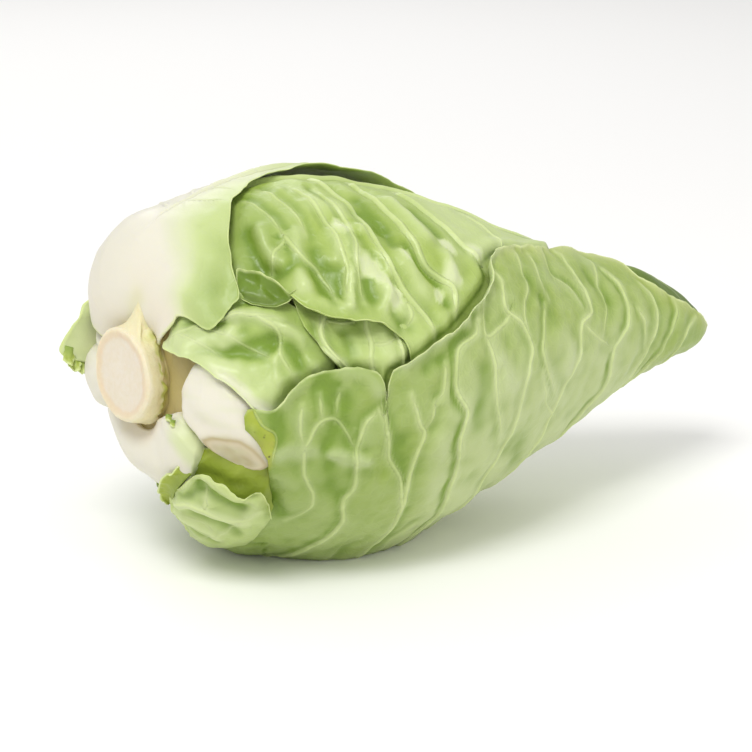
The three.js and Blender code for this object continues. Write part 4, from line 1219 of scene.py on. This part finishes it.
def crumpled():
    """The small leaf below the trimmed base, folded away from the head so that its inside shows: a
    creased blade, frills at both its ends, and behind it the other half of the same leaf, in painted shade."""
    leaf = Leaf(
        [(23, -62), (28, -68), (34, -73), (40, -80), (46, -86), (52, -84), (56, -76)],
        [(22.5, -58), (23.5, -50), (25, -40), (26.5, -31.5), (28, -28.5), (31, -28), (33, -29.5), (36, -31),
         (40, -32.5), (43.5, -33.5), (45.5, -29), (47.5, -27), (49.5, -30), (54, -40)],
        cell=0.6, corner=0.5, ragged=(0.8, 0.8), seed=23)
    t = leaf.t[:, 0]
    leaf.curl(FIRST, 1.6 * fall(38, 46, t), 2.0)
    leaf.curl(SECOND, 0.7 + 1.4 * ease(42, 46, t), 1.8)
    leaf.height = table([(22, 3.6), (26, 5.0), (32, 5.0), (38, 4.4), (44, 3.8), (50, 3.4), (56, 1.4)], leaf.t)
    leaf.height -= 1.8 * fall(0, 9, leaf.from_first)
    right = bell((leaf.t - 49) / 2.6) * bell(leaf.from_second / 9)
    top = bell(leaf.from_second / 3)
    leaf.bump = 2.0 * right + 1.0 * top * waver(leaf.t, 4, 82)
    veins = [(1.2, 0.4, 0.7, [[(26, -60), (30, -50), (34, -47), (40, -46), (46, -44), (49, -38)]]),
             (1.0, 0.3, 0.7, [[(34, -47), (32, -40), (30, -33)], [(43, -84), (44, -66), (45, -46)]]),
             (0.9, 0.2, 0.8, [[(30, -62), (37, -58), (43, -62)]])]
    ready, marks = grow(leaf, veins, [
        (1.2, 1.6, [(28, -30), (31, -30), (36, -33), (41, -35), (45, -34)]),
        (-1.6, 2.0, [(30, -36), (36, -38), (43, -39)]),
        (1.5, 2.0, [(27, -58), (31, -50), (38, -47), (46, -46)]),
        (-1.8, 2.0, [(26, -50), (28, -42), (29, -36)]), (-1.4, 2.2, [(34, -54), (42, -52), (47, -54)]),
        (1.2, 1.8, [(25, -52), (26, -42), (27, -34)]), (1.3, 2.0, [(30, -66), (36, -62), (44, -64)]),
        (-1.4, 1.8, [(40, -72), (46, -70)]), (1.4, 1.6, [(46, -40), (48, -34), (48, -30)]),
    ], pillow=0.4, crumple=0.7, seed=25)
    leaf.bump = np.maximum(leaf.bump, -1.5)
    # Painted shade in a band just inside its upper edge and at the right frill.
    marks["deep"] = 0.7 * marks["deep"] + 0.25 * bell((leaf.from_second - 4) / 2.5) + 0.3 * right
    marks["light"] += 0.45
    marks["warm"] = 0.15 * top + 0.2 * right
    mesh = leaf_mesh(leaf, ready, **marks)
    # The other half seen from its inside, in painted shade, and the stem end's frill, shaded towards its
    # foot.
    half = Leaf(
        [(19, -46), (24, -44), (32, -42), (42, -42), (54, -44)],
        [(18, -38), (21, -26), (27, -21), (36, -20), (44, -20), (51, -24), (54, -34)],
        cell=0.9, corner=0.8, ragged=(0.3, 0.6), seed=24)
    half.height = 1.6 - 4.0 * half.v
    half.bump = folds(half, [
        (1.2, 2, [(23, -34), (26, -26)]), (-1.0, 2.5, [(30, -34), (40, -33)]),
        (1.0, 2, [(35, -36), (38, -26)]), (1.2, 2, [(47, -38), (49, -28)]),
    ])
    half.bump += 0.5 * ripple(half.base, 7, 27)
    half.surface()
    shell(mesh, half.outer, half.normal, BLADE, deep=0.9, rim=0.8 * ease(0.95, 1.0, half.v),
          warm=0.45 + 0.15 * ease(0.5, 1, half.v))
    foot = spots_at([(24.5, -36, 3.6), (23.5, -45, 4.2), (23.5, -52, 4.4), (25, -60, 4.0), (28, -66, 3.2),
                     (31, -70, 2.4)])
    free = spots_at([(20.5, -37, 5.4), (18.8, -45, 6.4), (18.6, -51, 6.8), (20, -59, 6.4), (22.5, -66, 5.4),
                     (27, -69, 4.2)])
    p, w = (part[::-1] for part in ribbon(foot, free, cell=0.5, bow=1.2, frill=1.8, size=4, seed=83))
    shell(mesh, p, normals_of(p), 0.6, deep=1 - 0.4 * w, dark=0.25 * (1 - w), warm=0.3 + 0.4 * w,
          rim=ease(0.9, 1.0, w))
    mesh.build("crumpled_leaf", PALE, "leaf_green")


def back():
    """The leaf at the back beside the stem: white at its foot, green further along the head."""
    leaf = Leaf(
        [(4, 146), (14, 148), (26, 149), (40, 152), (56, 148), (76, 138), (100, 134), (126, 142)],
        [(4, 176), (14, 177), (26, 178), (40, 184), (56, 194), (76, 206), (100, 210), (126, 198)],
        cell=1.2, ragged=(0.4, 0.5), seed=25)
    leaf.height = table([(4, -1.0), (10, 2.0), (22, 1.4), (34, -1.2), (46, -2.6), (126, -2.7)], leaf.t)
    near = laterals([30, 44, 60, 78, 96], 168, 140, 22, 45)
    far = laterals([30, 46, 62, 80, 98], 170, 206, 22, 46)
    veins = [(2.6, 1.8, 0.25, [[(8, 165), (50, 167), (122, 170)]]), (1.4, 0.55, 0.5, near + far),
             (0.8, 0.2, 0.8, links(near, 47) + links(far, 48))]
    green = ease(24, 44, leaf.t)
    ready, marks = grow(leaf, veins, [], pillow=0.6 * green, crumple=0.1 + 0.35 * green, seed=27,
                        lean=0.5 * green)
    marks = {k: v * (0.1 + 0.9 * green) for k, v in marks.items()}
    thick = BLADE + 5 * fall(14, 40, leaf.t)
    leaf_mesh(leaf, ready, thick, white=1 - green, **marks).build("back_leaf", PALE, "leaf_pale")


def ribbon(foot, free, cell, bow, frill, size, seed):
    """A small blade between two lines in space, each a list of (x, y, z) in mm: straight across from foot
    to free, bowed by bow*sin(pi*w) along its normal, with a frill of noise that grows as w^2 to its free
    edge. Returns the grid of points and the share w of each."""
    lines = []
    for line in (foot, free):
        line = np.array(line, float)
        s = travelled(np.linalg.norm(np.diff(line, axis=0), axis=1))
        lines.append((np.column_stack([s / s[-1], line]), s[-1]))
    rows = 2 * int(max(lines[0][1], lines[1][1]) / cell / 2) + 3
    u = np.linspace(0, 1, rows)
    a, b = (smooth_curve(line, u) for line, _ in lines)
    cols = 2 * int(np.linalg.norm(b - a, axis=1).max() / cell / 2) + 3
    w = np.linspace(0, 1, cols)[None, :, None]
    p = a[:, None] * (1 - w) + b[:, None] * w
    n = normals_of(p)
    p += n * (bow * np.sin(np.pi * w))
    wave = waver(np.linspace(0, lines[1][1], rows), size, seed)[:, None, None]
    p += n * (frill * w**2 * (wave + 0.5 * ripple(p, size * 0.6, seed)[..., None]))
    return p, w[..., 0] + 0 * p[..., 0]


def curls(mesh, places, size, seed, **marks):
    """Small frayed curls at places (x, y, z), each a ribbon of that size in mm that turns outwards."""
    foot = size * np.array([(0.3, 0, 1), (1, -0.3, 0.7), (1.6, 0, 0.7)])
    free = size * np.array([(-0.3, -0.7, -0.6), (0.5, -1.3, -1.2), (1.3, -0.7, -0.6)])
    for k, place in enumerate(places):
        p, w = ribbon(place + foot, place + free, 0.4, bow=0.3 * size, frill=0.5 * size, size=2.6,
                      seed=seed + k)
        # The deep mark, painted shade, is laid at each curl's foot; the others grow towards its free edge.
        whole = {key: value * (1 - w) if key == "deep" else value * w for key, value in marks.items()}
        shell(mesh, p, normals_of(p), 0.5, rim=ease(0.75, 1.0, w), **whole)


def torn_end():
    """The short torn leaf that stands off the head beside the stem, its lower end frayed into curls."""
    mesh = Mesh(MARKS)
    p, w = ribbon([(-66, 45, 91), (-70, 44, 84), (-72, 43, 76), (-72, 42, 68), (-70, 42, 60)],
                  [(-71, 43, 90.5), (-78, 42, 86.5), (-81, 42, 82), (-84.5, 42, 77), (-87.5, 42, 72.5),
                   (-88.5, 42, 69), (-86, 41, 66)], cell=0.7, bow=-1.2, frill=1.2, size=6, seed=61)
    # light is painted light lifting this piece out of shade; white is its pale colour, partly raised too.
    shell(mesh, p, normals_of(p), 0.7, light=1, deep=0.2 * chance(p, 7, 66, 0), white=0.6 - 0.25 * w,
          rim=ease(0.93, 1.0, w))
    curls(mesh, [(-87.8, 42, 68), (-86, 42, 65.5), (-83.5, 42, 64.5), (-81, 42, 63), (-78, 42, 62)], 3, 62,
          deep=0.6, warm=0.6)
    mesh.build("torn_back_end", PALE, "leaf_pale")


# ---- stem and core -----------------------------------------------------------------------------------
def turned(mesh, rings, **values):
    """A closed skin over rings of points (rows, around, 3), each ring closed on itself, with a point at
    the middle of the first and of the last ring. The rings go round so that the skin faces outwards when
    the first ring is the one towards -X."""
    n, m = rings.shape[:2]
    i, j = np.meshgrid(np.arange(n - 1), np.arange(m), indexing="ij")
    fours = np.stack([ring_place(i + r, j + c, m) for r, c in ((0, 0), (1, 0), (1, 1), (0, 1))], -1)
    k = np.arange(m)
    first = np.stack([np.full(m, n * m), k, ring_place(0, k + 1, m)], -1)
    last = np.stack([np.full(m, n * m + 1), ring_place(n - 1, k + 1, m), (n - 1) * m + k], -1)
    points = np.concatenate([rings.reshape(-1, 3), [rings[0].mean(0), rings[-1].mean(0)]])
    whole = {}
    for key, v in values.items():
        v = np.broadcast_to(v, (n, m))
        whole[key] = np.concatenate([v.ravel(), [v[0].mean(), v[-1].mean()]])
    mesh.add(points, fours, np.concatenate([first, last]), **whole)


def evenly(rows, count):
    """Rows of numbers read at count even steps, straight between them: an upright array for each column."""
    s = np.linspace(0, len(rows) - 1, count)
    return [np.interp(s, np.arange(len(rows)), c)[:, None] for c in np.transpose(rows)]


STEM_MARKS = ("ring", "green", "rough_edge")


def stem_finish():
    """Cabbage stalk, cut with a knife and left for an hour: a damp cream pith, round it a ring that has
    begun to go pinkish brown, and a pale fibrous skin with a hint of green down the side."""
    finish, t, shader = new_finish("cut_cabbage_stalk")
    mark = {m: node(t, "Attribute", attribute_name=m).outputs["Fac"] for m in STEM_MARKS}
    place = node(t, "TexCoord").outputs["Object"]
    # The bands wander over 7 mm, and the fibres lie about 1.8 mm apart.
    wander = node(t, "TexNoise", {"Vector": place, "Scale": 1 / 0.007, "Detail": 3.0})
    shift = node(t, "MapRange", {"Value": wander.outputs["Fac"]}, (0.3, 0.7, -0.05, 0.05))
    ring = node(t, "Math", {0: mark["ring"], 1: shift.outputs[0]}, operation="ADD").outputs[0]
    # Half the share of the radius: pith to 0.36, the brown ring at 0.4, paler again up to the corner at
    # 0.5, and the side past it.
    bands = node(t, "ValToRGB", {"Fac": node(t, "Math", {0: ring, 1: 0.5}, operation="MULTIPLY").outputs[0]},
                 stops=[(0.0, colour("#e2d9c8")), (0.36, colour("#e0d6c3")), (0.4, colour("#dfcdb0")),
                        (0.44, colour("#e0d1b3")), (0.465, colour("#e4d9bc")), (0.5, colour("#e6dec2")),
                        (0.58, colour("#e6deb4")), (1.0, colour("#e2d8aa"))])
    fibre = node(t, "TexNoise", {"Vector": place, "Scale": 1 / 0.0018, "Detail": 4.0, "Roughness": 0.65})
    faint = node(t, "MapRange", {"Value": fibre.outputs["Fac"]}, (0.4, 0.75, 0.0, 0.25))
    skin = bands.outputs[0]
    for share, tint in ((faint.outputs[0], "#d2c08e"), (mark["green"], "#bcc163"),
                        (mark["rough_edge"], "#c2b074")):
        skin = node(t, "Mix", {SHARE: share, BENEATH: skin, OVER: colour(tint)}, data_type="RGBA")
        skin = skin.outputs[MIXED]
    t.links.new(skin, shader.inputs["Base Color"])
    shader.inputs["Roughness"].default_value = 0.42
    shader.inputs["IOR"].default_value = 1.4
    shader.inputs["Subsurface Weight"].default_value = 0.35
    shader.inputs["Subsurface Radius"].default_value = (1.0, 0.75, 0.45)
    shader.inputs["Subsurface Scale"].default_value = 0.003
    bump = node(t, "Bump", {"Strength": 0.6, "Distance": 0.0004, "Height": fibre.outputs["Fac"]})
    t.links.new(bump.outputs[0], shader.inputs["Normal"])
    return finish


def stem():
    """The stalk: a cut face, a rounded corner, a short side with a ragged lip where the leaves were torn
    off, a narrower neck behind it, and on top the stub that carries the upper leaf."""
    turn = np.radians(np.arange(0, 360, 2.0))[None, :]
    # The side view, as (axial place, radius, ring mark).
    side = [(-85, 0.3, 0), (-85, 4, 0.24), (-85, 8, 0.48), (-85.1, 10.5, 0.64), (-85.1, 12.4, 0.75),
            (-85.2, 14.2, 0.86), (-85.1, 15.4, 0.95), (-84.6, 16.2, 1), (-83.6, 16.5, 1.1),
            (-81.5, 16.6, 1.25), (-79.6, 16.4, 1.4), (-78.4, 16.2, 1.5), (-77.6, 15.6, 1.6),
            (-76.4, 15, 1.7), (-72, 15, 1.9), (-65, 15, 2), (-58, 20, 2)]
    x, r, ring = evenly(side, 110)
    degrees = np.degrees(turn)
    on_side = ease(1.0, 1.4, ring)
    r = r * (1 + 0.02 * np.cos(2 * turn + 0.6) + 0.015 * np.cos(3 * turn))
    from_stub = degrees - 84
    stub = bell(from_stub / 34) * ease(-84.5, -76, x)
    up = ease(-84.5, -80.6, x)
    neck = np.maximum(1 - np.abs(from_stub) / (38 - 27 * up), 0) ** 0.8 * up
    low = bell((degrees - 270) / 50) * ease(-80, -76, x)
    r += (5 * stub + 11.5 * neck + 1.5 * low) * on_side
    # The cut face leans a little and lies 2.8 mm above the axis, and both fade out up to x = -70.
    share = np.clip((-70 - x) / 15, 0, 1)
    y, z = -r * np.cos(turn), r * np.sin(turn)
    lean = (-0.13 * y - 0.02 * z) * share
    around = np.stack([16 * np.cos(turn), 16 * np.sin(turn), 0 * turn], -1) + 0 * x[..., None]
    lip = (0.7 * ripple(around, 5, 76) + ripple(around, 2.2, 77)) * bell((x + 78.6) / 1.6) * on_side
    points = stand(x + lean + 1.3 * lip * (1 - stub), y, z + 2.8 * share)
    outward = unit(points - stand(x, 0 * y, 0 * z + 2.8 * share))
    rough = ripple(points, 5, 71) * 0.3 + ripple(points, 2, 72) * 0.15 + 0.3 * np.maximum(lip, 0)
    points += outward * (rough * on_side)[..., None]
    points[..., 0] += (0.25 * ripple(points, 6, 73) - 0.5 * bell((r - 15.4) / 2)) * (1 - on_side)
    stripe = bell((degrees - 60) / 8) * ease(-84.3, -82, x)
    front = bell((degrees - 10) / 45) + bell((degrees - 370) / 45)
    crumbs = front * ease(-80.6, -79, x) * fall(-77, -75, x) * ease(-0.4, 0, ripple(points, 3, 74))
    mesh = Mesh(STEM_MARKS)
    turned(mesh, points, ring=ring, green=np.clip(0.5 * stripe * on_side + 1.2 * crumbs, 0, 1),
           rough_edge=0.8 * ease(-79, -75, x) * (1 - stub))
    mesh.build("stem", stem_finish(), "stem")


def core():
    """The firm head under the loose leaves, with the brownish hollow round the stem and the leaf that
    closes it at the back, where the outer leaves leave it bare."""
    # The hollow's outline, as (axial place, radius), goes on from the stem to the head's own.
    head = np.array([(-72, 9), (-74.5, 13), (-75.6, 18), (-75.2, 23), (-74, 28), (-71, 33)], float)
    t = np.arange(35, 263, 3.0)
    inset = table([(35, -8.5), (44, -9.5), (95, -8.5), (210, -7), (262, -6)], t)
    x, r, dx, dr = outline(t)
    x = np.concatenate([head[:, 0], x - inset * dr])
    r = np.concatenate([head[:, 1], r + inset * dx])
    x, r = evenly(np.column_stack([x, r]), 320)
    turn = np.radians(np.arange(0, 360, 2.5))[None, :]
    points = stand(x, -r * np.cos(turn), r * np.sin(turn))
    points[..., 0] += 0.8 * ripple(points, 8, 75) * fall(-72, -64, x)
    points = settled(points)
    hollow = fall(-72, -66, x)
    leaf = Leaf([(22, -194), (30, -196), (60, -202), (90, -204), (120, -200)],
                [(22, -80), (30, -78), (60, -76), (90, -78), (120, -84)], cell=1.6, ragged=(0.4, 0.4),
                seed=29)
    leaf.height = table([(22, -9.6), (32, -7.6), (60, -7.4), (120, -7.0)], leaf.t)
    stations = [24, 36, 50, 66, 84]
    side = laterals(stations, -128, -190, 20, 91) + laterals(stations, -128, -84, 16, 92)
    veins = [(2.2, 1.4, 0.4, [[(22, -130), (66, -128), (118, -126)]]), (1.4, 0.6, 0.5, side)]
    ready, marks = grow(leaf, veins, [], pillow=0.6, crumple=0.4, seed=95)
    mesh = leaf_mesh(leaf, ready, 1.4, **marks)
    turned(mesh, points, tan=0.9 * hollow, deep=0.3 * (1 - hollow), light=0.4)
    mesh.build("inner_head", PALE, "leaf_pale")


for make in (front_wrap, back_wrap, crinkled_top, under, torn_side, folded, upper, trimmed, lower, rear,
             crumpled, back, torn_end, stem, core):
    make()


# ---- floor, light and camera -------------------------------------------------------------------------
def floor():
    """A pale floor, 8 m square."""
    half = 4.0
    data = bpy.data.meshes.new("floor")
    data.from_pydata([(-half, -half, 0), (half, -half, 0), (half, half, 0), (-half, half, 0)], [],
                     [(0, 1, 2, 3)])
    finish, _, shader = new_finish("pale_studio_paper")
    shader.inputs["Base Color"].default_value = colour("#faf9f7")
    shader.inputs["Roughness"].default_value = 0.8
    data.materials.append(finish)
    in_scene("floor", data)


def lamp(name, place, size, power, target=(0, 0, 0.06)):
    """A square soft light that faces the target."""
    data = bpy.data.lights.new(name, "AREA")
    data.size, data.energy = size, power
    light = in_scene(name, data)
    light.location = place
    light.rotation_euler = (Vector(target) - Vector(place)).to_track_quat("-Z", "Y").to_euler()


def camera():
    """Level with the front of the head, turned to its stem end and looking a little down."""
    azimuth, elevation, distance = np.radians(-31), np.radians(16), 0.92
    target = Vector((0.0154, 0, 0.055))
    back_way = Vector((np.sin(azimuth) * np.cos(elevation), -np.cos(azimuth) * np.cos(elevation),
                       np.sin(elevation)))
    data = bpy.data.cameras.new("camera")
    data.lens, data.sensor_width = 122.55, 36
    eye = in_scene("camera", data)
    eye.location = target + back_way * distance
    eye.rotation_euler = back_way.to_track_quat("Z", "Y").to_euler()
    bpy.context.scene.camera = eye


floor()
lamp("key", (-0.75, -0.55, 1.45), 0.7, 16)
lamp("fill", (0.9, -1.4, 0.7), 1.0, 4.5)
lamp("back", (0.4, 1.3, 1.0), 0.9, 4)
world = bpy.data.worlds.new("studio")
world.use_nodes = True
world.node_tree.nodes["Background"].inputs["Color"].default_value = (1, 1, 1, 1)
world.node_tree.nodes["Background"].inputs["Strength"].default_value = 0.64
bpy.context.scene.world = world
bpy.context.scene.view_settings.view_transform = "Standard"
camera()
